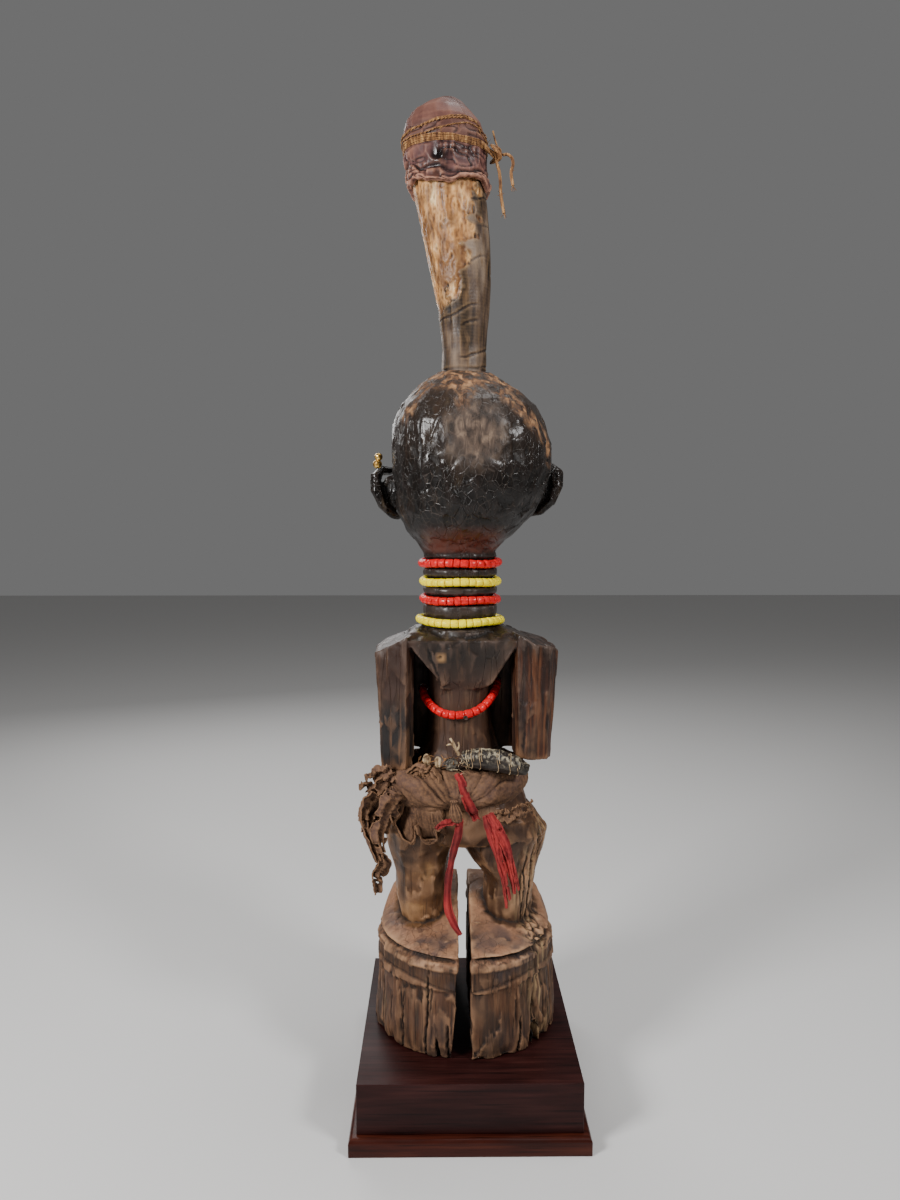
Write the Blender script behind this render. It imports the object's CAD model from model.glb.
"""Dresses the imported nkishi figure: carved relief, horn, hide cap, beads, cloth and their finishes.

Metres, +Z up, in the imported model's own frame: the figure stands on its plinth and faces -Y, the
camera stands behind it, and the figure's left side is at +X.
"""

import math

import bpy
import numpy as np
from mathutils import Matrix, Vector, kdtree


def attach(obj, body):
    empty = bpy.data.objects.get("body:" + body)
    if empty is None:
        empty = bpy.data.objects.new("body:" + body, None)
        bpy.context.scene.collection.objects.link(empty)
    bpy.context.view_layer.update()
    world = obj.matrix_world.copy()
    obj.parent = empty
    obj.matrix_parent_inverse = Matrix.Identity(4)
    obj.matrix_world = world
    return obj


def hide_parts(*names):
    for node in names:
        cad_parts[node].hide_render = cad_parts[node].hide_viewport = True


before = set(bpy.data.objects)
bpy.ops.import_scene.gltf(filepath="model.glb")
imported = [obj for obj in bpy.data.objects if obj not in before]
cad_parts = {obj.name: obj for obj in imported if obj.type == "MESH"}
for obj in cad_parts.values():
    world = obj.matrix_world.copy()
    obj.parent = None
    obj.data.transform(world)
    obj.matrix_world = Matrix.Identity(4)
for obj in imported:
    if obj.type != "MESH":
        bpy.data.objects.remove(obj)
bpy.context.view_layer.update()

# Camera, light and floor. The camera stands close behind the figure, a little above its waist,
# with the short lens that the plinth's corners give. Soft lights stand on every side of it.
bpy.ops.object.select_all(action="DESELECT")
bpy.ops.object.camera_add(
    location=(0.0251, 0.8295, 0.5490), rotation=(math.radians(85.09), 0.0, math.radians(179.42))
)
camera = bpy.context.object
camera.name = "photo_camera"
camera.data.lens = 26.0
camera.data.sensor_width = 36.0
bpy.context.scene.camera = camera

bpy.ops.mesh.primitive_plane_add(size=12.0)
floor = bpy.context.object
floor.name = "pale_floor"
floor_paint = bpy.data.materials.new("pale floor")
floor_paint.use_nodes = True
floor_paint.node_tree.nodes["Principled BSDF"].inputs["Base Color"].default_value = (0.62, 0.61, 0.60, 1.0)
floor_paint.node_tree.nodes["Principled BSDF"].inputs["Roughness"].default_value = 0.9
floor.data.materials.append(floor_paint)

for name, place, size, power in (
    ("soft_light_left", (1.02, 0.88, 1.01), 0.38, 27.0),
    ("soft_light_right", (-0.94, 0.90, 1.21), 0.30, 17.0),
    ("soft_light_front", (0.55, -1.30, 1.25), 0.9, 11.0),
    ("soft_light_over", (-0.30, -0.10, 1.90), 0.6, 9.0),
):
    bpy.ops.object.light_add(type="AREA", location=place)
    lamp = bpy.context.object
    lamp.name = name
    lamp.data.size = size
    lamp.data.energy = power
    aim = Vector((0.0, 0.0, 0.50)) - Vector(place)
    lamp.rotation_euler = aim.to_track_quat("-Z", "Y").to_euler()

sky = bpy.data.worlds.new("studio")
sky.use_nodes = True
sky.node_tree.nodes["Background"].inputs["Color"].default_value = (0.80, 0.80, 0.80, 1.0)
sky.node_tree.nodes["Background"].inputs["Strength"].default_value = 0.20
bpy.context.scene.world = sky


# Loose ends of the cap's binding: two stiff ends of twisted plant fibre that hang beside the cap,
# one straight and one curled. Both end bare, in a few frayed fibres.
LONG_END_ROUTE = (
    (-0.0262, 0.0112, 0.8756),
    (-0.0278, 0.0130, 0.8690),
    (-0.0288, 0.0140, 0.8600),
    (-0.0292, 0.0138, 0.8510),
    (-0.0305, 0.0126, 0.8420),
    (-0.0325, 0.0120, 0.8330),
)
CURL_ROUTE = (
    (-0.0312, 0.0110, 0.8845),
    (-0.0354, 0.0112, 0.8848),
    (-0.0392, 0.0115, 0.8818),
    (-0.0405, 0.0118, 0.8760),
    (-0.0388, 0.0120, 0.8695),
    (-0.0394, 0.0122, 0.8625),
    (-0.0404, 0.0122, 0.8570),
)
FIBRE_RADIUS = 0.0014


def through(rows, spans):
    """Rows of a table, filled in along a smooth curve with this many steps a row."""
    rows = np.asarray(rows, float)
    before = np.vstack([2 * rows[:1] - rows[1:2], rows[:-1]])
    after = np.vstack([rows[1:], 2 * rows[-1:] - rows[-2:-1]])
    slope = (after - before) / 2
    found = []
    for i in range(len(rows) - 1):
        for t in np.arange(spans) / spans:
            found.append(
                (2 * t**3 - 3 * t**2 + 1) * rows[i]
                + (t**3 - 2 * t**2 + t) * slope[i]
                + (3 * t**2 - 2 * t**3) * rows[i + 1]
                + (t**3 - t**2) * slope[i + 1]
            )
    return np.array(found + [rows[-1]])


def strand(name, points, radius, sides=2, taper=None):
    """A round strand as a curve through close points, thinner where taper says so."""
    data = bpy.data.curves.new(name, "CURVE")
    data.dimensions = "3D"
    data.bevel_depth = radius
    data.bevel_resolution = sides
    data.use_fill_caps = True
    line = data.splines.new("POLY")
    line.points.add(len(points) - 1)
    for i, (target, point) in enumerate(zip(line.points, points)):
        target.co = (*point, 1.0)
        target.radius = 1.0 if taper is None else float(taper[i])
    piece = bpy.data.objects.new(name, data)
    bpy.context.scene.collection.objects.link(piece)
    return piece


def wisp(name, foot, way, length, bow, radius, taper=(1.0, 0.8, 0.3)):
    """One fine fibre from its foot, bowed in the middle and thinner towards its tip."""
    away = way / np.linalg.norm(way) * length
    return strand(name, [foot, foot + away * 0.5 + bow, foot + away], radius, 1, taper)


def picked(*pieces):
    """Selects these pieces alone, the first of them as the active one."""
    bpy.ops.object.select_all(action="DESELECT")
    for piece in pieces:
        piece.select_set(True)
    bpy.context.view_layer.objects.active = pieces[0]


def as_one_mesh(name, parts):
    """Turns curves and meshes into one mesh piece."""
    picked(*parts)
    bpy.ops.object.convert(target="MESH")
    if len(parts) > 1:
        bpy.ops.object.join()
    bpy.ops.object.transform_apply(location=True, rotation=True, scale=True)
    piece = bpy.context.object
    piece.name = name
    piece.data.name = name
    piece.data.shade_smooth()
    return piece


def finish(name, roughness, metallic=0.0):
    """A new material, with its node tree and its shader."""
    material = bpy.data.materials.new(name)
    material.use_nodes = True
    tree = material.node_tree
    shader = tree.nodes["Principled BSDF"]
    shader.inputs["Roughness"].default_value = roughness
    shader.inputs["Metallic"].default_value = metallic
    shader.inputs["Specular IOR Level"].default_value = 0.24
    return material, tree, shader


def laid_out(tree, stretch, turn=(0.0, 0.0, 0.0)):
    """The piece's own coordinates, turned and stretched for a pattern."""
    coords = tree.nodes.new("ShaderNodeTexCoord")
    lay = tree.nodes.new("ShaderNodeMapping")
    lay.inputs["Scale"].default_value = stretch
    lay.inputs["Rotation"].default_value = turn
    tree.links.new(coords.outputs["Object"], lay.inputs["Vector"])
    return lay.outputs["Vector"]


def pattern(tree, scale, stretch=(1.0, 1.0, 1.0), turn=(0.0, 0.0, 0.0), detail=4.0, warp=0.0, kind="noise"):
    """The value of a noise, split or wave pattern that lies in the piece's own coordinates."""
    kinds = {"noise": "ShaderNodeTexNoise", "wave": "ShaderNodeTexWave", "splits": "ShaderNodeTexVoronoi"}
    texture = tree.nodes.new(kinds[kind])
    texture.inputs["Scale"].default_value = scale
    tree.links.new(laid_out(tree, stretch, turn), texture.inputs["Vector"])
    if kind == "splits":
        texture.feature = "DISTANCE_TO_EDGE"
        return texture.outputs["Distance"]
    texture.inputs["Detail"].default_value = detail
    texture.inputs["Distortion"].default_value = warp
    return texture.outputs["Fac"]


def flat_cuts(tree, size):
    """Heights that tilt each patch of the surface against the next, as short blade cuts leave it."""
    spots = laid_out(tree, tuple(1.0 / s for s in size))
    patches = tree.nodes.new("ShaderNodeTexVoronoi")
    patches.inputs["Scale"].default_value = 1.0
    tree.links.new(spots, patches.inputs["Vector"])
    away, lean, height = (tree.nodes.new("ShaderNodeVectorMath") for _ in range(3))
    away.operation = lean.operation = "SUBTRACT"
    height.operation = "DOT_PRODUCT"
    lean.inputs[1].default_value = (0.5, 0.5, 0.5)
    for source, socket in (
        (spots, away.inputs[0]), (patches.outputs["Position"], away.inputs[1]),
        (patches.outputs["Color"], lean.inputs[0]),
        (away.outputs["Vector"], height.inputs[0]), (lean.outputs["Vector"], height.inputs[1]),
    ):
        tree.links.new(source, socket)
    return height.outputs["Value"]


def ramp(value, stops):
    """Colours or grey levels read along a value, as (place, colour) stops in rising order."""
    tree = value.id_data
    node = tree.nodes.new("ShaderNodeValToRGB")
    tree.links.new(value, node.inputs["Fac"])
    elements = node.color_ramp.elements
    for i, (place, colour) in enumerate(stops):
        element = elements[i] if i < 2 else elements.new(place)
        element.position = place
        level = colour if isinstance(colour, tuple) else (colour, colour, colour)
        element.color = (*level, 1.0)
    return node.outputs["Color"]


def laid_over(under, over, share):
    """One colour over another, as far as a value says."""
    tree = share.id_data
    mix = tree.nodes.new("ShaderNodeMix")
    mix.data_type = "RGBA"
    for socket, source in ((mix.inputs[6], under), (mix.inputs[7], over), (mix.inputs[0], share)):
        if isinstance(source, tuple):
            socket.default_value = (*source, 1.0)
        else:
            tree.links.new(source, socket)
    return mix.outputs[2]


def worked(operation, first, second):
    """A sum, product or other figure of two values, or of a value and a number."""
    tree = (second if isinstance(first, float) else first).id_data
    node = tree.nodes.new("ShaderNodeMath")
    node.operation = operation
    for socket, source in zip(node.inputs, (first, second)):
        if isinstance(source, float):
            socket.default_value = source
        else:
            tree.links.new(source, socket)
    return node.outputs[0]


def times(*values):
    """The product of a value with other values or numbers."""
    product = values[0]
    for value in values[1:]:
        product = worked("MULTIPLY", product, value)
    return product


def layered(colour, *coats):
    """Coats laid over a colour in turn: each its own colour, then the shares that it is held to."""
    for over, *shares in coats:
        colour = laid_over(colour, over, times(*shares))
    return colour


def dressed(shader, colour, gloss=None, relief=()):
    """Gives a shader its colour, its roughness and small relief, as (pattern, millimetres) pairs."""
    tree = shader.id_data
    tree.links.new(colour, shader.inputs["Base Color"])
    if gloss is not None:
        tree.links.new(gloss, shader.inputs["Roughness"])
    last = None
    for value, depth in relief:
        bump = tree.nodes.new("ShaderNodeBump")
        bump.inputs["Strength"].default_value = 1.0
        bump.inputs["Distance"].default_value = depth / 1000
        tree.links.new(value, bump.inputs["Height"])
        if last is not None:
            tree.links.new(last, bump.inputs["Normal"])
        last = bump.outputs["Normal"]
    if last is not None:
        tree.links.new(last, shader.inputs["Normal"])


def settled(piece, material, slot_name, *nodes):
    """Gives a finished piece its material, fixes it to the object and names the nodes it stands for."""
    if material:
        piece.data.materials.append(material)
    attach(piece, "root")
    if nodes:
        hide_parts(*nodes)
    return piece


fibre, tree, shader = finish("dry plant fibre", 0.75)
streaks = pattern(tree, 420.0, (1.0, 1.0, 0.25), detail=3.0)
tones = ramp(streaks, (
    (0.30, (0.06, 0.022, 0.009)), (0.50, (0.21, 0.096, 0.036)), (0.68, (0.42, 0.235, 0.095))
))
dressed(shader, tones, relief=((pattern(tree, 900.0, (1.0, 1.0, 0.2)), 0.35),))

for name, route, length, fray_seed in (
    ("binding_end_long_fibre", LONG_END_ROUTE, 0.0436, 3),
    ("binding_end_curl_fibre", CURL_ROUTE, 0.0345, 8),
):
    centreline = through(route, 4)
    end = strand(name, centreline, FIBRE_RADIUS)
    luck = np.random.default_rng(fray_seed)
    wisps = []
    for k in range(9):
        at = centreline[-1] if k < 5 else centreline[int(luck.integers(4, len(centreline) - 2))]
        if k < 5:
            way = np.array([luck.normal(-0.25, 0.5), luck.normal(0.0, 0.4), -0.9])
        else:
            way = luck.normal(0.0, 1.0, 3)
        reach = 0.0052 if k < 5 else 0.0034
        wisps.append(wisp(name + "_wisp_%d" % k, at, way, reach, luck.normal(0.0, 0.0008, 3), 0.00030))
    frayed = as_one_mesh(name + "_frayed", wisps)
    settled(frayed, fibre, "fibre")
    settled(end, fibre, "fibre", name.replace("_fibre", ""))


# Plinth: a display block of stained hardwood on a wider mahogany slab. Both are planed, sanded and
# polished; the slab has a rounded upper edge, and the block's own edges are only just broken.
PLINTH_WIDTH = 0.2000
PLINTH_DEPTH = 0.2235
BLOCK_HEIGHT = 0.0460
SLAB_HEIGHT = 0.0164
SLAB_OVERHANG = 0.0068
SEAM = 0.0003


def sawn_block(name, width, depth, height, foot, upper_edge, other_edges):
    """A cube set to size, with its edges rounded: the upper rim more than the rest."""
    bpy.ops.object.select_all(action="DESELECT")
    bpy.ops.mesh.primitive_cube_add(
        size=1.0, location=(0.0, 0.0, foot + height / 2), scale=(width, depth, height)
    )
    piece = bpy.context.object
    piece.name = name
    bpy.ops.object.transform_apply(location=True, rotation=True, scale=True)
    for upper, offset, segments in ((True, upper_edge, 8), (False, other_edges, 3)):
        bpy.ops.object.mode_set(mode="EDIT")
        bpy.ops.mesh.select_mode(type="EDGE")
        bpy.ops.mesh.select_all(action="DESELECT")
        bpy.ops.object.mode_set(mode="OBJECT")
        spots = [v.co for v in piece.data.vertices]
        for edge in piece.data.edges:
            ends = [spots[i] for i in edge.vertices]
            if upper:
                edge.select = all(p.z > foot + height - 1e-6 for p in ends)
            else:
                standing = abs(ends[0].z - ends[1].z) > height * 0.5
                edge.select = standing or all(p.z < foot + 1e-6 for p in ends)
        bpy.ops.object.mode_set(mode="EDIT")
        bpy.ops.mesh.bevel(offset=offset, segments=segments, profile=0.5, affect="EDGES")
        bpy.ops.object.mode_set(mode="OBJECT")
    bpy.ops.object.shade_smooth_by_angle(angle=math.radians(40.0))
    return piece


def planed_hardwood(name, dark, middle, light, roughness, gloss):
    """Straight-grained hardwood, with long pores along X and a broad change of tone."""
    material, tree, shader = finish(name, roughness)
    fibres = pattern(tree, 60.0, (0.22, 3.0, 3.2), detail=6.0, warp=0.3)
    broad = pattern(tree, 11.0, (0.5, 2.0, 2.4), detail=3.0)
    pores = pattern(tree, 150.0, (0.10, 3.5, 3.5), detail=2.0)
    tones = ramp(fibres, ((0.28, dark), (0.50, middle), (0.74, light)))
    tones = layered(
        tones,
        (dark, ramp(broad, ((0.40, 0.55), (0.62, 0.0)))),
        (tuple(c * 0.35 for c in dark), ramp(pores, ((0.30, 0.75), (0.42, 0.0)))),
    )
    shine = ramp(pattern(tree, 22.0, detail=5.0), ((0.35, gloss), (0.70, roughness)))
    dressed(shader, tones, shine, ((pores, 0.05), (fibres, 0.04)))
    shader.inputs["Specular IOR Level"].default_value = 0.18
    return material


mahogany = planed_hardwood(
    "polished mahogany", (0.018, 0.0034, 0.002), (0.046, 0.0085, 0.0045), (0.092, 0.021, 0.010), 0.40, 0.26
)
hardwood = planed_hardwood(
    "purple brown hardwood",
    (0.011, 0.0022, 0.0020), (0.024, 0.0052, 0.0045), (0.042, 0.0110, 0.0090), 0.52, 0.40
)

slab = sawn_block(
    "plinth_slab_mahogany", PLINTH_WIDTH + 2 * SLAB_OVERHANG, PLINTH_DEPTH + 2 * SLAB_OVERHANG,
    SLAB_HEIGHT, 0.0, 0.0050, 0.0008,
)
settled(slab, mahogany, "mahogany", "plinth_slab")
block = sawn_block(
    "plinth_block_hardwood", PLINTH_WIDTH, PLINTH_DEPTH, BLOCK_HEIGHT, SLAB_HEIGHT + SEAM, 0.0009, 0.0008
)
settled(block, hardwood, "stained_hardwood", "plinth_block")


# The carving: one log of dense wood, cut with an adze and a knife. Flat blade cuts cover it, drying
# cracks run along the grain, and the right side of leg and base is eaten away. Years of oil have
# blackened the head, handling has polished the legs, and the base is dusty.
FIGURE_FOOT = 0.0630
BASE_TOP = 0.158
HIPS_TOP = 0.322
SHOULDERS_TOP = 0.452
NECK_TOP = 0.522
GRAIN_STEP = 0.00135
CARVING_FACES = 190000


def merged_copy(node, name):
    """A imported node's mesh as a new piece, with its loose triangles joined."""
    piece = bpy.data.objects.new(name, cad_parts[node].data.copy())
    bpy.context.scene.collection.objects.link(piece)
    piece.data.name = name
    piece.data.materials.clear()
    picked(piece)
    bpy.ops.object.mode_set(mode="EDIT")
    bpy.ops.mesh.select_all(action="SELECT")
    bpy.ops.mesh.remove_doubles(threshold=1e-5)
    bpy.ops.object.mode_set(mode="OBJECT")
    return piece


def applied(piece, kind, **settings):
    """Adds one modifier to a piece with these settings, and applies it."""
    step = piece.modifiers.new(kind.lower(), kind)
    for key, value in settings.items():
        setattr(step, key, value)
    picked(piece)
    bpy.ops.object.modifier_apply(modifier=step.name)


def spots_of(piece):
    found = np.empty(len(piece.data.vertices) * 3)
    piece.data.vertices.foreach_get("co", found)
    return found.reshape(-1, 3)


def facings_of(piece):
    found = np.empty(len(piece.data.vertices) * 3)
    piece.data.vertex_normals.foreach_get("vector", found)
    return found.reshape(-1, 3)


def moved_to(piece, points):
    piece.data.vertices.foreach_set("co", np.ascontiguousarray(points, float).reshape(-1))
    piece.data.update()


def clouds(p, size, seed):
    """Smooth seeded noise from -1 to 1, with a new value every size metres."""
    q = np.asarray(p, float) / np.asarray(size, float)
    base = np.floor(q).astype(np.int64)
    t = q - base
    t = t * t * (3 - 2 * t)
    table = np.random.default_rng(seed).random(4096) * 2 - 1
    total = np.zeros(len(q))
    for dx in (0, 1):
        for dy in (0, 1):
            for dz in (0, 1):
                key = (base[:, 0] + dx) * 73856093 ^ (base[:, 1] + dy) * 19349663
                key = key ^ (base[:, 2] + dz) * 83492791
                share = np.abs(1 - dx - t[:, 0]) * np.abs(1 - dy - t[:, 1]) * np.abs(1 - dz - t[:, 2])
                total += share * table[key & 4095]
    return total


def eased(value, low, high):
    """0 under low, 1 over high, and a smooth step between them."""
    t = np.clip((value - low) / (high - low), 0.0, 1.0)
    return t * t * (3 - 2 * t)


def blade_cuts(p, n, size, depth, tilt, seed):
    """How far each point moves along its normal to lie on the flat cuts nearest to it."""
    luck = np.random.default_rng(seed)
    q = p / np.asarray(size, float)
    order = luck.permutation(len(p))
    _, first = np.unique(np.floor(q[order] + luck.random(3)).astype(np.int64), axis=0, return_index=True)
    seeds = order[first]
    flats = n[seeds] + luck.normal(0.0, tilt, (len(seeds), 3))
    flats /= np.linalg.norm(flats, axis=1)[:, None]
    tree = kdtree.KDTree(len(seeds))
    for i, k in enumerate(seeds):
        tree.insert(q[k], i)
    tree.balance()
    near = np.array([[hit[1] for hit in tree.find_n(point, 4)] for point in q])
    moves = np.full(len(p), 1.0)
    for k in range(near.shape[1]):
        at, flat = p[seeds[near[:, k]]], flats[near[:, k]]
        agrees = (flat * n).sum(1)
        move = ((at - p) * flat).sum(1) / np.maximum(agrees, 0.4)
        moves = np.where(agrees > 0.72, np.minimum(moves, move), moves)
    return np.clip(np.where(moves > 0.5, 0.0, moves), -depth, depth * 0.6)


# Drying cracks, by the axis x and y in mm of the part that they are in: bearing (90 is the back),
# height from and to in mm above the floor, half width, depth, and how far the crack turns round the
# axis over its height. Short checks are scattered round the base's foot.
BASE_AXIS = (1.5, -7.0)
CRACKS_OF = {
    BASE_AXIS: (
        (64.5, 50.0, 156.0, 1.0, 4.5, 3.0), (72.0, 50.0, 84.0, 2.0, 6.0, -2.0),
        (78.0, 55.0, 103.0, 1.3, 4.5, -2.0), (136.0, 56.0, 114.0, 2.6, 9.0, 5.0),
        (124.0, 56.0, 100.0, 1.4, 5.0, 3.0), (47.0, 58.0, 112.0, 1.1, 2.6, 2.0),
        (24.0, 60.0, 128.0, 1.4, 4.0, -2.0), (160.0, 58.0, 150.0, 1.6, 5.0, 3.0),
        (250.0, 58.0, 130.0, 1.4, 4.5, 2.0), (290.0, 62.0, 140.0, 1.3, 4.0, -2.0),
    ),
    (0.0, -6.0): ((56.0, 548.0, 668.0, 0.9, 1.9, -5.0), (196.0, 560.0, 640.0, 0.8, 1.5, 4.0)),
    (7.0, 0.0): ((57.5, 396.0, 447.0, 0.9, 2.0, -10.0),),
    (68.0, 2.0): ((60.0, 320.0, 440.0, 0.8, 1.0, 4.0),),
    (-62.0, 5.0): ((118.0, 325.0, 435.0, 0.8, 1.1, -5.0), (75.0, 322.0, 400.0, 0.8, 1.1, 4.0)),
    (-40.0, -4.0): (
        (128.0, 150.0, 256.0, 1.3, 3.2, 8.0), (142.0, 150.0, 268.0, 1.6, 4.0, 4.0),
        (158.0, 150.0, 264.0, 1.4, 3.4, -4.0), (114.0, 150.0, 238.0, 1.0, 2.2, 6.0),
    ),
}
CRACKS = [(*axis, *crack) for axis, cracks in CRACKS_OF.items() for crack in cracks]
luck = np.random.default_rng(41)
for _ in range(34):
    low = luck.uniform(50.0, 95.0)
    high = low + luck.uniform(14.0, 52.0)
    CRACKS.append((
        *BASE_AXIS, luck.uniform(0.0, 360.0), low, high, 0.9, luck.uniform(0.9, 1.9), luck.normal(0.0, 1.5)
    ))


def crack_depth(p):
    """How deep in a drying crack each point lies, in metres."""
    deepest = np.zeros(len(p))
    for i, (x, y, bearing, low, high, half, depth, turn) in enumerate(CRACKS):
        x, y, low, high, half, depth = (v / 1000 for v in (x, y, low, high, half, depth))
        along = (p[:, 2] - low) / (high - low)
        inside = np.nonzero((along > 0) & (along < 1))[0]
        at, along = p[inside], along[inside]
        a = np.radians(bearing + turn * (along - 0.5))
        rise = along * (high - low)
        walk = 0.0006 * np.sin(rise * 150 + i) + 0.00025 * np.sin(rise * 620 + 2 * i)
        side = -(at[:, 0] - x) * np.sin(a) + (at[:, 1] - y) * np.cos(a) - walk
        front = (at[:, 0] - x) * np.cos(a) + (at[:, 1] - y) * np.sin(a)
        fades = np.minimum(1.0, 4.0 * np.minimum(along + 0.12 * (low < FIGURE_FOOT), 1.0 - along))
        cut = np.clip(1.0 - np.abs(side) / (half * np.maximum(fades, 0.05)), 0.0, 1.0) ** 0.8
        deepest[inside] = np.maximum(deepest[inside], cut * depth * fades * (front > 0.006))
    return deepest


def nearness(p, line, near, far, shares=(1.0, 1.0, 1.0)):
    """1 within a distance of a line through places in mm, falling to 0 farther off."""
    nearest = np.full(len(p), 1.0)
    for spot in through(line, 4) / 1000:
        nearest = np.minimum(nearest, np.linalg.norm((p - spot) * shares, axis=1))
    return 1.0 - eased(nearest, near, far)


def eaten_share(p):
    """1 where the wood of the right leg and base is eaten away, falling to 0 round it."""
    line = (
        (-74, 4, 264), (-72, 20, 240), (-62, 26, 214), (-58, 34, 190),
        (-66, 34, 158), (-66, 50, 128), (-72, 52, 92), (-76, 46, 70),
    )
    share = nearness(p, line, 0.006, 0.027, (1.0, 0.9, 0.8))
    return np.clip(share + 0.35 * clouds(p, (0.010, 0.010, 0.03), 77) - 0.1, 0.0, 1.0)


def ring_cuts(p):
    """Groove, ridge and band round the base: how far they move the surface out, and their shade."""
    z = p[:, 2]
    away = np.abs(p[:, 0] - 0.004)
    drift = 0.0011 * clouds(p, (0.016, 0.016, 0.5), 28)
    groove = np.exp(-(((z - 0.1562 - drift) / 0.0017) ** 2)) * (0.3 + 0.7 * eased(away, 0.006, 0.016))
    ridge = np.exp(-(((z - 0.1502 - drift) / 0.0032) ** 2))
    foot_at = 0.1262 + 0.0085 * np.minimum(away / 0.045, 1.2) + drift
    line = np.exp(-(((z - foot_at) / 0.0011) ** 2))
    band = eased(z, foot_at, foot_at + 0.002) * (1.0 - eased(z, 0.1450, 0.1475))
    nicks = np.abs(clouds(p, (0.0050, 0.0050, 0.08), 29))
    outer = eased(np.hypot(p[:, 0] - 0.0015, p[:, 1] + 0.007), 0.064, 0.072)
    move = 0.0011 * ridge - 0.0036 * groove - 0.0015 * line - band * (0.0006 + 0.0009 * nicks)
    return outer * move, outer * np.maximum(groove, 0.7 * line), outer * band


carving = merged_copy("carved_figure", "carved_figure_wood")
applied(carving, "REMESH", mode="VOXEL", voxel_size=GRAIN_STEP)
applied(carving, "SMOOTH", factor=0.5, iterations=3)
p, n = spots_of(carving), facings_of(carving)
z = p[:, 2]
move = np.zeros(len(p))
for low, high, size, depth, tilt, seed in (
    (NECK_TOP, 1.000, (0.0115, 0.0115, 0.0140), 0.0012, 0.060, 11),
    (SHOULDERS_TOP, NECK_TOP, (0.0090, 0.0090, 0.0060), 0.0003, 0.020, 12),
    (HIPS_TOP, SHOULDERS_TOP, (0.0110, 0.0110, 0.0340), 0.0007, 0.030, 13),
    (BASE_TOP, HIPS_TOP, (0.0140, 0.0140, 0.0200), 0.0006, 0.035, 14),
    (0.000, BASE_TOP, (0.0140, 0.0140, 0.0450), 0.0010, 0.045, 15),
):
    region = np.nonzero((z >= low) & (z < high))[0]
    move[region] = blade_cuts(p[region], n[region], size, depth, tilt, seed)

face_side = eased(-p[:, 1], 0.050, 0.066) * eased(z, 0.525, 0.545)
hands_side = eased(-p[:, 1], 0.046, 0.056) * (z > 0.32) * (z < 0.39)
move *= 1.0 - 0.75 * np.maximum(face_side, hands_side)
move += 0.00008 * clouds(p, 0.0050, 21)
base_side = 1.0 - eased(z, 0.152, BASE_TOP)
eaten = eaten_share(p)
coarse_grain = 0.0004 * clouds(p, (0.0028, 0.0028, 0.030), 23) + 0.0005 * clouds(p, (0.009, 0.009, 0.050), 24)
move += base_side * coarse_grain
crumbled = 1.0 - eased(z, FIGURE_FOOT + 0.001, FIGURE_FOOT + 0.013)
move -= crumbled * np.clip(0.0003 + 0.0026 * clouds(p, (0.009, 0.009, 0.05), 25), 0.0, 0.003)
chip = np.exp(-(((p - (0.026, 0.046, 0.428)) / (0.0042, 0.006, 0.0036)) ** 2).sum(1))
hole = np.exp(-(((p - (-0.051, 0.050, 0.614)) / (0.0019, 0.012, 0.0030)) ** 2).sum(1))
ring_move, _, _ = ring_cuts(p)
move += ring_move * (1.0 - 0.8 * eaten)
gullies = np.abs(clouds(p, (0.0060, 0.0060, 0.050), 26)) ** 0.6
worm = np.abs(clouds(p, (0.0042, 0.0042, 0.016), 27))
move -= eaten * (0.0062 * np.clip(0.75 - gullies, 0.0, 1.0) + 0.0012 * worm)
bulge_seam = np.exp(-(((z - 0.2130 - 0.25 * (p[:, 0] + 0.010)) / 0.0012) ** 2))
move -= 0.0006 * (bulge_seam * nearness(p, ((-8, 30, 240), (-24, 34, 226)), 0.014, 0.020))
move -= 0.0016 * eased(chip, 0.25, 0.5) + 0.0045 * hole + crack_depth(p)
p = p + n * np.clip(move, -0.009, 0.0012)[:, None]
p[:, 2] = np.maximum(p[:, 2], FIGURE_FOOT)
moved_to(carving, p)
applied(carving, "SMOOTH", factor=0.25, iterations=1)
triangles = sum(len(face.vertices) - 2 for face in carving.data.polygons)
applied(carving, "DECIMATE", ratio=min(1.0, CARVING_FACES / triangles))
carving.data.shade_smooth()


def wear_marks(piece, reach):
    """Rubbed edges and sheltered hollows, from how the surface bends at each point."""
    p, n = spots_of(piece), facings_of(piece)
    ends = np.empty(len(piece.data.edges) * 2, np.int64)
    piece.data.edges.foreach_get("vertices", ends)
    a, b = ends.reshape(-1, 2).T
    away = p[b] - p[a]
    away /= np.maximum(np.linalg.norm(away, axis=1), 1e-9)[:, None]
    bend = np.bincount(a, (away * n[a]).sum(1), len(p)) - np.bincount(b, (away * n[b]).sum(1), len(p))
    count = np.bincount(a, minlength=len(p)) + np.bincount(b, minlength=len(p))
    bend /= np.maximum(count, 1)
    for _ in range(2):
        spread = np.bincount(a, bend[b], len(p)) + np.bincount(b, bend[a], len(p))
        bend = 0.4 * bend + 0.6 * spread / np.maximum(count, 1)
    return np.clip(-bend / reach, 0.0, 1.0), np.clip(bend / reach, 0.0, 1.0)


def marked(piece, name, red, green, blue):
    """Keeps three shares for each point of a piece, for its material to read."""
    kept = piece.data.attributes.new(name, "FLOAT_COLOR", "POINT")
    values = np.column_stack([red, green, blue, np.ones(len(red))])
    kept.data.foreach_set("color", values.astype(np.float32).reshape(-1))


def marks_of(tree, name):
    """The three shares kept on a piece, as values."""
    kept = tree.nodes.new("ShaderNodeAttribute")
    kept.attribute_name = name
    parts = tree.nodes.new("ShaderNodeSeparateColor")
    tree.links.new(kept.outputs["Color"], parts.inputs["Color"])
    return parts.outputs


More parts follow.
